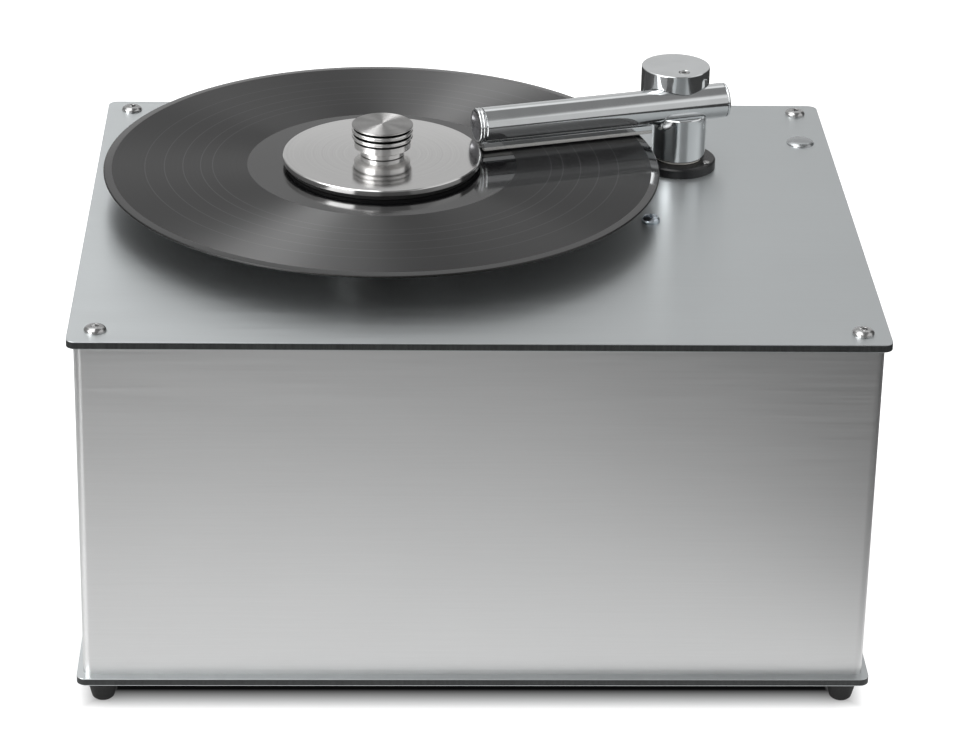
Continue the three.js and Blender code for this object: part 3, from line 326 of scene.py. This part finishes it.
CASE_TONE = (0.80, 0.805, 0.805)
materials = {
    "plate_skin": brushed("plate_skin", (0.70, 0.73, 0.74), 0, "X", roughness=0.36, anisotropy=0.82),
    "case_front": brushed("case_front", CASE_TONE, 0, "X", roughness=0.42, anisotropy=0.6),
    "case_side": brushed("case_side", CASE_TONE, 1, "Y", roughness=0.42, anisotropy=0.6),
    "core": composite_core(),
    "vinyl": vinyl(),
    "rim": moulded("vinyl_rim", (0.004, 0.004, 0.004), roughness=0.3, grain=900.0, strength=0.05),
    "mirror_disc": turned("mirror_disc", (0.80, 0.795, 0.79), roughness=0.12, anisotropy=0.35,
                          pitch=0.3 * MM),
    "turned": turned("turned_aluminium", (0.80, 0.79, 0.78), roughness=0.26, anisotropy=0.85),
    # The knob's top gets a darker copy of the ribs' turned aluminium: painted shade
    "crown": turned("turned_crown_painted_shade", (0.48, 0.475, 0.47), roughness=0.44, anisotropy=0.95),
    "ribs": turned("turned_ribs", (0.80, 0.795, 0.785), roughness=0.28, anisotropy=0.8),
    "brass": turned("brass_alloy", (0.70, 0.52, 0.24), roughness=0.25),
    # Near-black copy of the knob's aluminium for the grooves between its ribs: painted shade in the recesses
    "groove": polished("painted_groove_shade", (0.05, 0.05, 0.05), roughness=0.3, wear=0.1),
    # Dark copy of the polished aluminium for the end caps' dished faces: painted shade in the hollow
    "painted_dish_shade": polished("painted_dish_shade", (0.22, 0.22, 0.23), roughness=0.16),
    "polished": polished("polished_aluminium", (0.84, 0.86, 0.87), roughness=0.09),
    "zinc": polished("zinc_steel", (0.62, 0.68, 0.74), roughness=0.2, wear=0.1),
    "stainless": polished("stainless_steel", (0.52, 0.52, 0.52), roughness=0.16, wear=0.06),
    "plug": polished("plug_steel", (0.5, 0.52, 0.53), roughness=0.24, wear=0.05),
    "motor": polished("motor_steel", (0.30, 0.31, 0.32), roughness=0.4, wear=0.1),
    "rubber": moulded("black_rubber", (0.006, 0.006, 0.006), roughness=0.7),
    "plastic": moulded("black_plastic", (0.010, 0.010, 0.011), roughness=0.3, grain=2500.0, strength=0.08),
    "polymer": moulded("white_polymer", (0.72, 0.70, 0.65), roughness=0.45, grain=1200.0, strength=0.05,
                       variation=0.04),
    "hose": moulded("clear_hose", (0.52, 0.55, 0.54), roughness=0.3, grain=800.0, strength=0.05,
                    variation=0.05),
    "velvet": velvet(),
}


# Mesh helpers

def new_piece(name, bm, body, mats, replaced, origin=(0, 0, 0), angle=SMOOTH_ANGLE):
    """An object from a bmesh, smooth but crisp where its surface turns by more than the angle."""
    bmesh.ops.recalc_face_normals(bm, faces=bm.faces)
    mesh = bpy.data.meshes.new(name)
    bm.to_mesh(mesh)
    bm.free()
    obj = bpy.data.objects.new(name, mesh)
    bpy.context.scene.collection.objects.link(obj)
    obj.location = origin
    for m in mats:
        mesh.materials.append(m)
    mesh.polygons.foreach_set("use_smooth", [True] * len(mesh.polygons))
    mesh.set_sharp_from_angle(angle=angle)
    mesh.update()
    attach(obj, body)
    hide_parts(*replaced)
    return obj


def ring_of(bm, radius, z, count):
    if radius == 0:
        return [bm.verts.new((0, 0, z))]
    turns = [2 * math.pi * i / count for i in range(count)]
    return [bm.verts.new((radius * math.cos(a), radius * math.sin(a), z)) for a in turns]


def skin_rings(bm, low, high, index=0):
    """Faces between two rings, or between a ring and a point on the axis."""
    count = max(len(low), len(high))
    for i in range(count):
        j = (i + 1) % count
        corners = [low[i % len(low)], low[j % len(low)], high[j % len(high)], high[i % len(high)]]
        unique = list(dict.fromkeys(corners))
        if len(unique) > 2:
            bm.faces.new(unique).material_index = index


def lathe(profile, count=ROUND_SIDES, loop=False, index_of=lambda radius, height: 0):
    """A turned mesh about Z from (radius, height) points; index_of gives the material of each band."""
    bm = bmesh.new()
    rings = [ring_of(bm, r, z, count) for r, z in profile]
    for low, high, (r0, z0), (r1, z1) in zip(rings, rings[1:], profile, profile[1:]):
        skin_rings(bm, low, high, index_of((r0 + r1) / 2, (z0 + z1) / 2))
    if loop:
        skin_rings(bm, rings[-1], rings[0])
    return bm


def rounded(points, radius):
    """The profile with each corner between its ends rounded, by no more than its sides have room for."""
    side_share = 0.45
    result = [points[0]]
    for before, here, after in zip(points, points[1:], points[2:]):
        a, b, c = Vector(before), Vector(here), Vector(after)
        into, out = a - b, c - b
        reach = min(radius, into.length * side_share, out.length * side_share)
        start, end = b + into.normalized() * reach, b + out.normalized() * reach
        for i in range(ROUNDING_STEPS + 1):
            t = i / ROUNDING_STEPS
            point = start * (1 - t) ** 2 + b * (2 * t * (1 - t)) + end * t ** 2
            result.append((point.x, point.y))
    result.append(points[-1])
    return result


def arc(x, y, radius, start, end):
    """Points of a round corner about (x, y), between two angles."""
    turns = [start + (end - start) * i / CORNER_STEPS for i in range(CORNER_STEPS + 1)]
    return [(x + radius * math.cos(a), y + radius * math.sin(a)) for a in turns]


def outline_points(width, depth, corner):
    """A rounded rectangle about the origin, counter-clockwise."""
    x, y, quarter = width / 2 - corner, depth / 2 - corner, math.pi / 2
    points = []
    for k, (side_x, side_y) in enumerate(((1, 1), (-1, 1), (-1, -1), (1, -1))):
        points += arc(side_x * x, side_y * y, corner, k * quarter, (k + 1) * quarter)
    return points


def dress(node, material, bevel=0.0, segments=2, angle=SMOOTH_ANGLE):
    """A copy of a CAD node with joined corners, softened edges and smooth shading."""
    source = nodes[node]
    bm = bmesh.new()
    bm.from_mesh(source.data)
    bmesh.ops.remove_doubles(bm, verts=bm.verts, dist=WELD_DISTANCE)
    bmesh.ops.dissolve_limit(bm, angle_limit=FLAT_ANGLE, verts=bm.verts, edges=bm.edges)
    obj = new_piece(node + "_skin", bm, source["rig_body"], [materials[material]], [node], angle=angle)
    if bevel:
        modifier = obj.modifiers.new("edge", "BEVEL")
        modifier.width = bevel
        modifier.segments = segments
        modifier.limit_method = "ANGLE"
        modifier.angle_limit = SMOOTH_ANGLE
        modifier.harden_normals = False


def centre_of(node):
    low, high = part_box(node)
    return (low + high) / 2


# Plates of aluminium composite

SKIN = 0.35 * MM
PLATE_EDGE = 0.12 * MM
PLATE_CORNER = 5 * MM


def composite_plate(node):
    """Two bright skins on a dark core, which shows in the middle band of the edge."""
    low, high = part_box(node)
    width, depth, thick = high - low
    levels = [(PLATE_EDGE, 0), (0, PLATE_EDGE), (0, SKIN)]
    levels += [(inset, thick - z) for inset, z in reversed(levels)]
    core_band = 2
    skin, core = range(2)
    bm = bmesh.new()
    rings = []
    for inset, z in levels:
        points = outline_points(width - 2 * inset, depth - 2 * inset, PLATE_CORNER - inset)
        rings.append([bm.verts.new((x, y, z - thick / 2)) for x, y in points])
    for band, (a, b) in enumerate(zip(rings, rings[1:])):
        skin_rings(bm, a, b, core if band == core_band else skin)
    bm.faces.new(rings[0])
    bm.faces.new(rings[-1])
    new_piece(node + "_sheet", bm, "cabinet", [materials["plate_skin"], materials["core"]], [node],
              centre_of(node), SOFT_ANGLE)


composite_plate("top_plate")
composite_plate("base_plate")


# Cabinet: folded wrap and rear panel

FOLD = 4.5 * MM
WALL = 3 * MM
RETURN = 14 * MM


def cabinet_wrap():
    """Front and sides folded from one sheet, with a lip turned in along the back of each side."""
    low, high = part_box("case_shell")
    middle = centre_of("case_shell")
    x, half_height = (high.x - low.x) / 2, (high.z - low.z) / 2
    front, back = low.y - middle.y, high.y - middle.y
    fold_x, fold_y, left, ahead, right = x - FOLD, front + FOLD, math.pi, 1.5 * math.pi, 2 * math.pi
    points = [(-x, back)] + arc(-fold_x, fold_y, FOLD, left, ahead) + arc(fold_x, fold_y, FOLD, ahead, right)
    points += [(x, back), (x - RETURN, back), (x - RETURN, back - WALL), (x - WALL, back - WALL)]
    points += arc(fold_x, fold_y, FOLD - WALL, right, ahead) + arc(-fold_x, fold_y, FOLD - WALL, ahead, left)
    points += [(-x + WALL, back - WALL), (-x + RETURN, back - WALL), (-x + RETURN, back)]
    bm = bmesh.new()
    bottom, top = ([bm.verts.new((*point, z)) for point in points] for z in (-half_height, half_height))
    skin_rings(bm, bottom, top)
    bm.faces.new(bottom)
    bm.faces.new(top)
    along_front, along_side = range(2)
    for face in bm.faces:
        face.normal_update()
        face.material_index = along_side if abs(face.normal.x) > abs(face.normal.y) else along_front
    new_piece("cabinet_wrap", bm, "cabinet", [materials["case_front"], materials["case_side"]],
              ["case_shell"], middle)


cabinet_wrap()
dress("rear_panel", "case_front", SHEET_EDGE)


# What turns about the spindle: record, clamp and knob

def on_spindle(node):
    """The place on the spindle's axis at the bottom of a node."""
    middle, low = centre_of("record_disc"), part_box(node)[0]
    return middle.x, middle.y, low.z


def radius_and_height(node):
    low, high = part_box(node)
    return (high.x - low.x) / 2, high.z - low.z


RECORD_HOLE = 3.65 * MM
RIM_WIDTH = 4.5 * MM
RIM_DROP = 0.3 * MM
RIM_BEAD = 0.35 * MM
RIM_ROUNDING = 0.3 * MM


def record():
    """Flat faces that thin towards the rim, and a smooth bead around it."""
    radius, thick = radius_and_height("record_disc")
    grooved, smooth = range(2)
    under = [(RECORD_HOLE, 0), (radius - RIM_WIDTH, 0), (radius - RIM_BEAD, RIM_DROP),
             (radius, RIM_DROP + RIM_BEAD)]
    profile = under + [(r, thick - z) for r, z in reversed(under)]
    bead_start = radius - 2 * RIM_BEAD
    bm = lathe(rounded(profile, RIM_ROUNDING), FINE_SIDES, True,
               lambda r, z: smooth if r > bead_start else grooved)
    new_piece("record", bm, "platter", [materials["vinyl"], materials["rim"]], ["record_disc"],
              on_spindle("record_disc"))


record()

CLAMP_BORE = 3.8 * MM
CLAMP_LOWER_EDGE = 0.4 * MM
CLAMP_UPPER_EDGE = 0.5 * MM
CLAMP_ROUNDING = 0.15 * MM
SEAL_BORE = 44 * MM
SEAL_ROUNDING = 0.5 * MM


def clamp_disc():
    radius, thick = radius_and_height("clamp_plate")
    profile = [(CLAMP_BORE, 0), (radius - CLAMP_LOWER_EDGE, 0), (radius, CLAMP_LOWER_EDGE),
               (radius, thick - CLAMP_UPPER_EDGE), (radius - CLAMP_UPPER_EDGE, thick), (CLAMP_BORE, thick)]
    new_piece("clamp_disc", lathe(rounded(profile, CLAMP_ROUNDING), FINE_SIDES, True), "clamp",
              [materials["mirror_disc"]], ["clamp_plate"], on_spindle("clamp_plate"))


def seal_ring():
    radius, height = radius_and_height("clamp_seal")
    profile = [(SEAL_BORE, 0), (radius, 0), (radius, height), (SEAL_BORE, height)]
    new_piece("seal_ring", lathe(rounded(profile, SEAL_ROUNDING), FINE_SIDES, True), "clamp",
              [materials["rubber"]], ["clamp_seal"], on_spindle("clamp_seal"))


clamp_disc()
seal_ring()

KNOB_BORE = 3.3 * MM
NECK_RADIUS = 12 * MM
NECK_TOP = 2.4 * MM
WAIST_RADIUS = 15.5 * MM
WAIST_BOTTOM = 4.2 * MM
WAIST_TOP = 7.7 * MM
WAIST_ROUNDING = 0.25 * MM
RIB_COUNT = 3
RIB_PITCH = 3.4 * MM
RIB_GAP = 1.2 * MM
RIB_BEAD = 1.1 * MM
RIB_STEPS = 10
GROOVE_RADIUS = 13.4 * MM
GROOVE_SHARE = 0.8        # of the bead, from its outside to where the groove's painted shade starts
GROOVE_OVERLAP = 0.1 * MM
CROWN_RADIUS = 16.3 * MM
CROWN_RISE = 0.5 * MM
CROWN_OVERLAP = 0.25 * MM
CROWN_DISH_RADIUS = 5.2 * MM
CROWN_DISH_DEPTH = 0.25 * MM


def knob_profile(rib_radius, height):
    """Radius and height from the neck up: a waist, round ribs with grooves between them, and a low crown."""
    crown_edge = height - CROWN_RISE
    neck = [(KNOB_BORE, 0), (NECK_RADIUS, 0), (NECK_RADIUS, NECK_TOP)]
    profile = rounded(neck + [(WAIST_RADIUS, WAIST_BOTTOM), (WAIST_RADIUS, WAIST_TOP)], WAIST_ROUNDING)
    profile.append((GROOVE_RADIUS, WAIST_TOP))
    for i in range(RIB_COUNT):
        last = i == RIB_COUNT - 1
        start = WAIST_TOP + RIB_GAP + RIB_PITCH * i
        top = crown_edge if last else start + 2 * RIB_BEAD
        half = (top - start) / 2
        profile.append((GROOVE_RADIUS, start))
        for k in range((RIB_STEPS // 2 if last else RIB_STEPS) + 1):
            turn = math.pi * k / RIB_STEPS
            inset, rise = RIB_BEAD * (1 - math.sin(turn)), half * (1 - math.cos(turn))
            profile.append((rib_radius - inset, start + rise))
        if not last:
            profile.append((GROOVE_RADIUS, top))
    profile += [(rib_radius, crown_edge - (rib_radius - CROWN_RADIUS)), (CROWN_RADIUS, crown_edge)]
    return profile + [(CROWN_DISH_RADIUS, height), (0, height - CROWN_DISH_DEPTH)]


def knob():
    rib_radius, height = radius_and_height("clamp_knob")
    crown_start = height - CROWN_RISE - CROWN_OVERLAP
    groove_edge = rib_radius - GROOVE_SHARE * RIB_BEAD
    ribs, crown, groove = range(3)

    def index_of(radius, z):
        # The knob's top: painted shade, a darker copy of the ribs' aluminium
        if z > crown_start:
            return crown
        # Grooves between the ribs: painted shade, a near-black copy of the aluminium
        return groove if radius < groove_edge and z > WAIST_TOP - GROOVE_OVERLAP else ribs

    mats = [materials["ribs"], materials["crown"], materials["groove"]]
    new_piece("turned_knob", lathe(knob_profile(rib_radius, height), index_of=index_of), "knob", mats,
              ["clamp_knob"], on_spindle("clamp_knob"), KNOB_ANGLE)


knob()

# Arm: the axis of its tube, with places along it counted from the column

ARM_ANGLE = math.radians(16.6)
TUBE_RADIUS = 9.75 * MM
TUBE_HEIGHT = 36.6 * MM
TUBE_WALL = 1.2 * MM
TUBE_EDGE = 0.15 * MM
TIP = -120.2 * MM
TAIL = 26.7 * MM
TIP_RINGS = (2, 1.75 * MM)        # how many, and how wide each is
TAIL_RINGS = (1, 1.3 * MM)
CAP_JOINT = 0.25 * MM
CAP_PLUG_LENGTH = 5 * MM
CAP_PLUG_PLAY = 0.3 * MM
CAP_RING_EDGE = 0.35 * MM
CAP_RING_STEPS = 5
DISH_RADIUS = 8.5 * MM
DISH_DEPTH = 3.4 * MM
DISH_STEPS = 14
column = centre_of("arm_column")
tube_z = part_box("top_plate")[1].z + TUBE_HEIGHT
turn_to_arm = Matrix.Rotation(ARM_ANGLE, 4, "Z") @ Matrix.Rotation(math.pi / 2, 4, "Y")
along_arm = Matrix.Translation((column.x, column.y, tube_z)) @ turn_to_arm


def tube_piece(name, bm, node, angle=SMOOTH_ANGLE):
    """A turned piece laid along the arm, whose heights run from tip to tail."""
    bmesh.ops.transform(bm, matrix=along_arm, verts=bm.verts)
    mats = [materials["polished"], materials["painted_dish_shade"]]
    new_piece(name, bm, "arm", mats, [node], angle=angle)


def arm_tube():
    start, end = TIP + math.prod(TIP_RINGS) + CAP_JOINT, TAIL - math.prod(TAIL_RINGS) - CAP_JOINT
    inner, edge = TUBE_RADIUS - TUBE_WALL, TUBE_RADIUS - TUBE_EDGE
    profile = [(inner, start), (edge, start), (TUBE_RADIUS, start + TUBE_EDGE),
               (TUBE_RADIUS, end - TUBE_EDGE), (edge, end), (inner, end)]
    tube_piece("tube", lathe(profile, loop=True), "arm_tube")


def end_cap(name, face, direction, rings, node):
    """A cap with rounded rings outside the tube, a plug inside it and a dished face."""
    count, width = rings
    base = face - direction * count * width
    plug = TUBE_RADIUS - TUBE_WALL - CAP_PLUG_PLAY
    profile = [(0, -CAP_PLUG_LENGTH), (plug, -CAP_PLUG_LENGTH), (plug, 0)]
    for k in range(count):
        for i in range(CAP_RING_STEPS + 1):
            turn = math.pi * i / CAP_RING_STEPS
            inset, rise = CAP_RING_EDGE * (1 - math.sin(turn)), width * (k + (1 - math.cos(turn)) / 2)
            profile.append((TUBE_RADIUS - inset, rise))
    for i in range(DISH_STEPS + 1):
        outward = 1 - i / DISH_STEPS
        profile.append((DISH_RADIUS * outward, count * width - DISH_DEPTH * (1 - outward ** 2)))
    placed = [(radius, base + direction * z) for radius, z in profile]
    bright, dished = range(2)

    # The dished face takes the dark copy of the metal: painted shade in the hollow
    def index_of(radius, z):
        return dished if radius < DISH_RADIUS and (z - base) * direction > 0 else bright

    tube_piece(name, lathe(placed, index_of=index_of), node, DISH_ANGLE)


arm_tube()
end_cap("tip_cap", TIP, -1, TIP_RINGS, "tip_end_cap")
end_cap("tail_cap", TAIL, 1, TAIL_RINGS, "tail_end_cap")
dress("arm_column", "polished", METAL_EDGE)
dress("arm_cap", "polished", METAL_EDGE)
dress("suction_rail", "polished", SHEET_EDGE)
dress("velvet_strip_front", "velvet", PILE_EDGE, PILE_SEGMENTS)
dress("velvet_strip_rear", "velvet", PILE_EDGE, PILE_SEGMENTS)
dress("arm_flange", "plastic", METAL_EDGE)

# Remaining nodes keep their own shape

for node in ("cap_screw", "flange_screw_1", "flange_screw_2", "flange_screw_3"):
    dress(node, "stainless", SMALL_SCREW_EDGE)
for place in ("front_left", "front_right", "rear_left", "rear_right"):
    dress("plate_screw_" + place, "stainless", SCREW_EDGE, angle=SOFT_ANGLE)
    dress("foot_" + place, "rubber", RUBBER_EDGE, angle=FOOT_ANGLE)
    dress("corner_post_" + place, "zinc")
for place in ("front_right", "rear_left"):
    dress("unit_screw_" + place, "zinc", SCREW_EDGE, angle=SOFT_ANGLE)
nodes_by_material = {
    "plug": ("blind_plug",),
    "brass": ("spindle_bearing",),
    "motor": ("gear_motor", "suction_motor"),
    "zinc": ("motor_bracket", "drive_coupler"),
    "stainless": ("arm_pillar", "spindle_shaft", "gearbox_shaft", "arm_spring"),
    "polymer": ("waste_tank", "tank_lid", "arm_bush"),
    "hose": ("suction_hose", "unit_hose"),
    "plastic": ("drain_spigot", "mains_inlet", "exhaust_grille", "switch_bezel", "platter_rocker",
                "suction_rocker"),
    "turned": ("platter_hub", "suction_fan"),
    "rubber": ("hub_mat", "drain_cap"),
}
for material, names in nodes_by_material.items():
    for node in names:
        dress(node, material, angle=SOFT_ANGLE)


# Studio: floor, world and camera

# Sizes of the floor are in metres. The shade under the object and the glow beyond it change over distances
# counted outwards from the base plate's outline. The pool of light in reflections fades between two radii.
FLOOR_RADIUS = 9.0
FLOOR_TONE = (0.86, 0.86, 0.86)
SHADE_TONE = (0.02, 0.02, 0.02)
SHADE_REACH = -0.02
GLOW_START = 0.004
GLOW_LEVEL = 0.7
POOL_X = -0.095
POOL_RADII = (0.38, 0.55)
POOL_LEVELS = (0.9, 0.05)


def floor_surface():
    """Dark under the object, pale beyond it, and to glossy rays a pool of light about the object."""
    s = Shader("studio_floor")
    s.set(Roughness=0.9, Specular_IOR_Level=0.0)
    low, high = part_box("base_plate")
    half_width, half_depth = (high.x - low.x) / 2, (high.y - low.y) / 2
    x, y = s.split(s.place())[:2]
    off_x = s.math("SUBTRACT", s.math("ABSOLUTE", x), half_width)
    from_middle = s.math("SUBTRACT", y, (high.y + low.y) / 2)
    off_y = s.math("SUBTRACT", s.math("ABSOLUTE", from_middle), half_depth)
    beyond = s.math("MAXIMUM", off_x, off_y)
    s.set(Base_Color=s.mix(s.remap(beyond, SHADE_REACH, 0.0), SHADE_TONE, FLOOR_TONE))
    outside = s.remap(beyond, SHADE_REACH, GLOW_START)
    path = s.node("ShaderNodeLightPath")
    glow = s.node("ShaderNodeEmission")
    level = s.math("MULTIPLY", outside, GLOW_LEVEL)
    s.link(s.math("MULTIPLY", path.outputs["Is Camera Ray"], level), glow.inputs["Strength"])
    lit = s.node("ShaderNodeAddShader")
    s.link(s.bsdf.outputs["BSDF"], lit.inputs[0])
    s.link(glow.outputs["Emission"], lit.inputs[1])
    distance = s.length(s.math("SUBTRACT", x, POOL_X), y)
    pool = s.node("ShaderNodeEmission")
    s.link(s.math("MULTIPLY", s.remap(distance, *POOL_RADII, *POOL_LEVELS), outside), pool.inputs["Strength"])
    mix = s.node("ShaderNodeMixShader")
    s.link(path.outputs["Is Glossy Ray"], mix.inputs["Fac"])
    s.link(lit.outputs["Shader"], mix.inputs[1])
    s.link(pool.outputs["Emission"], mix.inputs[2])
    s.link(mix.outputs["Shader"], s.output.inputs["Surface"])
    return s.material


def floor():
    bm = bmesh.new()
    bm.faces.new(ring_of(bm, FLOOR_RADIUS, 0, FLOOR_SIDES))
    mesh = bpy.data.meshes.new("studio_floor")
    bm.to_mesh(mesh)
    bm.free()
    mesh.materials.append(floor_surface())
    obj = bpy.data.objects.new("studio_floor", mesh)
    bpy.context.scene.collection.objects.link(obj)


# What glossy rays see: the direction's x where each zone starts, then the zone's level at each angle, in
# degrees from the horizon behind the object, over the zenith, to the horizon in front of it
SKY_ZONES = (
    (-1.00, ((0, 0.4), (180, 0.5))),
    (-0.84, ((0, 0.35), (57, 0.35), (63, 0.7), (86, 0.7), (93, 5.5), (137, 5.5), (143, 4.5))),
    (-0.50, ((0, 0.63), (18, 0.63), (22, 0.53), (38, 0.53), (44, 0.85), (57, 0.9), (63, 2.5), (113, 2.4),
             (119, 0.9), (137, 0.9), (143, 0.5))),
    (-0.03, ((0, 0.63), (18, 0.63), (22, 0.53), (38, 0.53), (44, 0.85), (57, 0.85), (62, 0.22), (137, 0.22),
             (143, 0.26))),
    (0.50, ((0, 0.1), (57, 0.1), (63, 0.8), (137, 0.8), (143, 0.55))),
)
ZONE_EDGE = 0.02
HALF_TURN = 180
TOP_LEVEL = 8.0
DIFFUSE_LEVEL = 0.9


def zone_levels(sky, angle, stops):
    """A zone's level at an angle, as a share of the top level."""
    ramp = sky.node("ShaderNodeValToRGB")
    sky.link(angle, ramp.inputs["Fac"])
    elements, placeholder = ramp.color_ramp.elements, 0.5
    while len(elements) < len(stops):
        elements.new(placeholder)
    for element, (degrees, level) in zip(elements, stops):
        share = level / TOP_LEVEL
        element.position = degrees / HALF_TURN
        element.color = (share, share, share, 1)
    return ramp.outputs["Color"]


def world():
    """White to the camera, zones of light to glossy rays and an even level to all others."""
    made = bpy.data.worlds.new("studio_world")
    bpy.context.scene.world = made
    made.use_nodes = True
    sky = Tree(made.node_tree)
    x, y, z = sky.split(sky.node("ShaderNodeTexCoord").outputs["Generated"])
    angle = sky.math("DIVIDE", sky.math("ARCTAN2", z, y), math.pi)
    first, *others = SKY_ZONES
    shares = zone_levels(sky, angle, first[1])
    for start, stops in others:
        inside = sky.remap(x, start - ZONE_EDGE, start + ZONE_EDGE)
        shares = sky.mix(inside, shares, zone_levels(sky, angle, stops))
    path = sky.node("ShaderNodeLightPath")
    glossy = path.outputs["Is Glossy Ray"]
    background = sky.tree.nodes["Background"]
    sky.put(background.inputs["Color"], sky.mix(glossy, (1, 1, 1), shares))
    plain = sky.math("MAXIMUM", path.outputs["Is Camera Ray"], DIFFUSE_LEVEL)
    strength = sky.math("MAXIMUM", plain, sky.math("MULTIPLY", glossy, TOP_LEVEL))
    sky.put(background.inputs["Strength"], strength)


# The camera that fits the photograph: its place from the middle of the top plate's face, its turn in
# radians, and its focal length and principal point in the photograph's pixels
CAMERA_OFFSET = (-0.0627864, -1.7289994, 0.7318641)
PITCH = 0.419159
ROLL = 0.02078013
YAW = 0.03925216
FOCAL_PX = 3463.5504
PHOTO_WIDTH_PX = 960
PHOTO_MIDDLE_Y_PX = 377.5
PRINCIPAL_Y_PX = 280.0
SENSOR_WIDTH = 36.0
CLIP_RANGE = (0.05, 60)


def camera():
    middle, top = centre_of("top_plate"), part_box("top_plate")[1].z
    place = Vector((middle.x, middle.y, top)) + Vector(CAMERA_OFFSET)
    ahead = Vector((math.sin(YAW) * math.cos(PITCH), math.cos(YAW) * math.cos(PITCH), -math.sin(PITCH)))
    level_right = Vector((math.cos(YAW), -math.sin(YAW), 0))
    level_up = level_right.cross(ahead)
    right = math.cos(ROLL) * level_right + math.sin(ROLL) * level_up
    up = -math.sin(ROLL) * level_right + math.cos(ROLL) * level_up
    data = bpy.data.cameras.new("camera")
    data.sensor_width = SENSOR_WIDTH
    data.lens = FOCAL_PX / PHOTO_WIDTH_PX * SENSOR_WIDTH
    data.shift_y = (PRINCIPAL_Y_PX - PHOTO_MIDDLE_Y_PX) / PHOTO_WIDTH_PX
    data.clip_start, data.clip_end = CLIP_RANGE
    obj = bpy.data.objects.new("camera", data)
    bpy.context.scene.collection.objects.link(obj)
    turn = Matrix((right, up, -ahead)).transposed()
    obj.matrix_world = Matrix.Translation(place) @ turn.to_4x4()
    bpy.context.scene.camera = obj


floor()
world()
camera()
bpy.context.scene.view_settings.view_transform = "Standard"
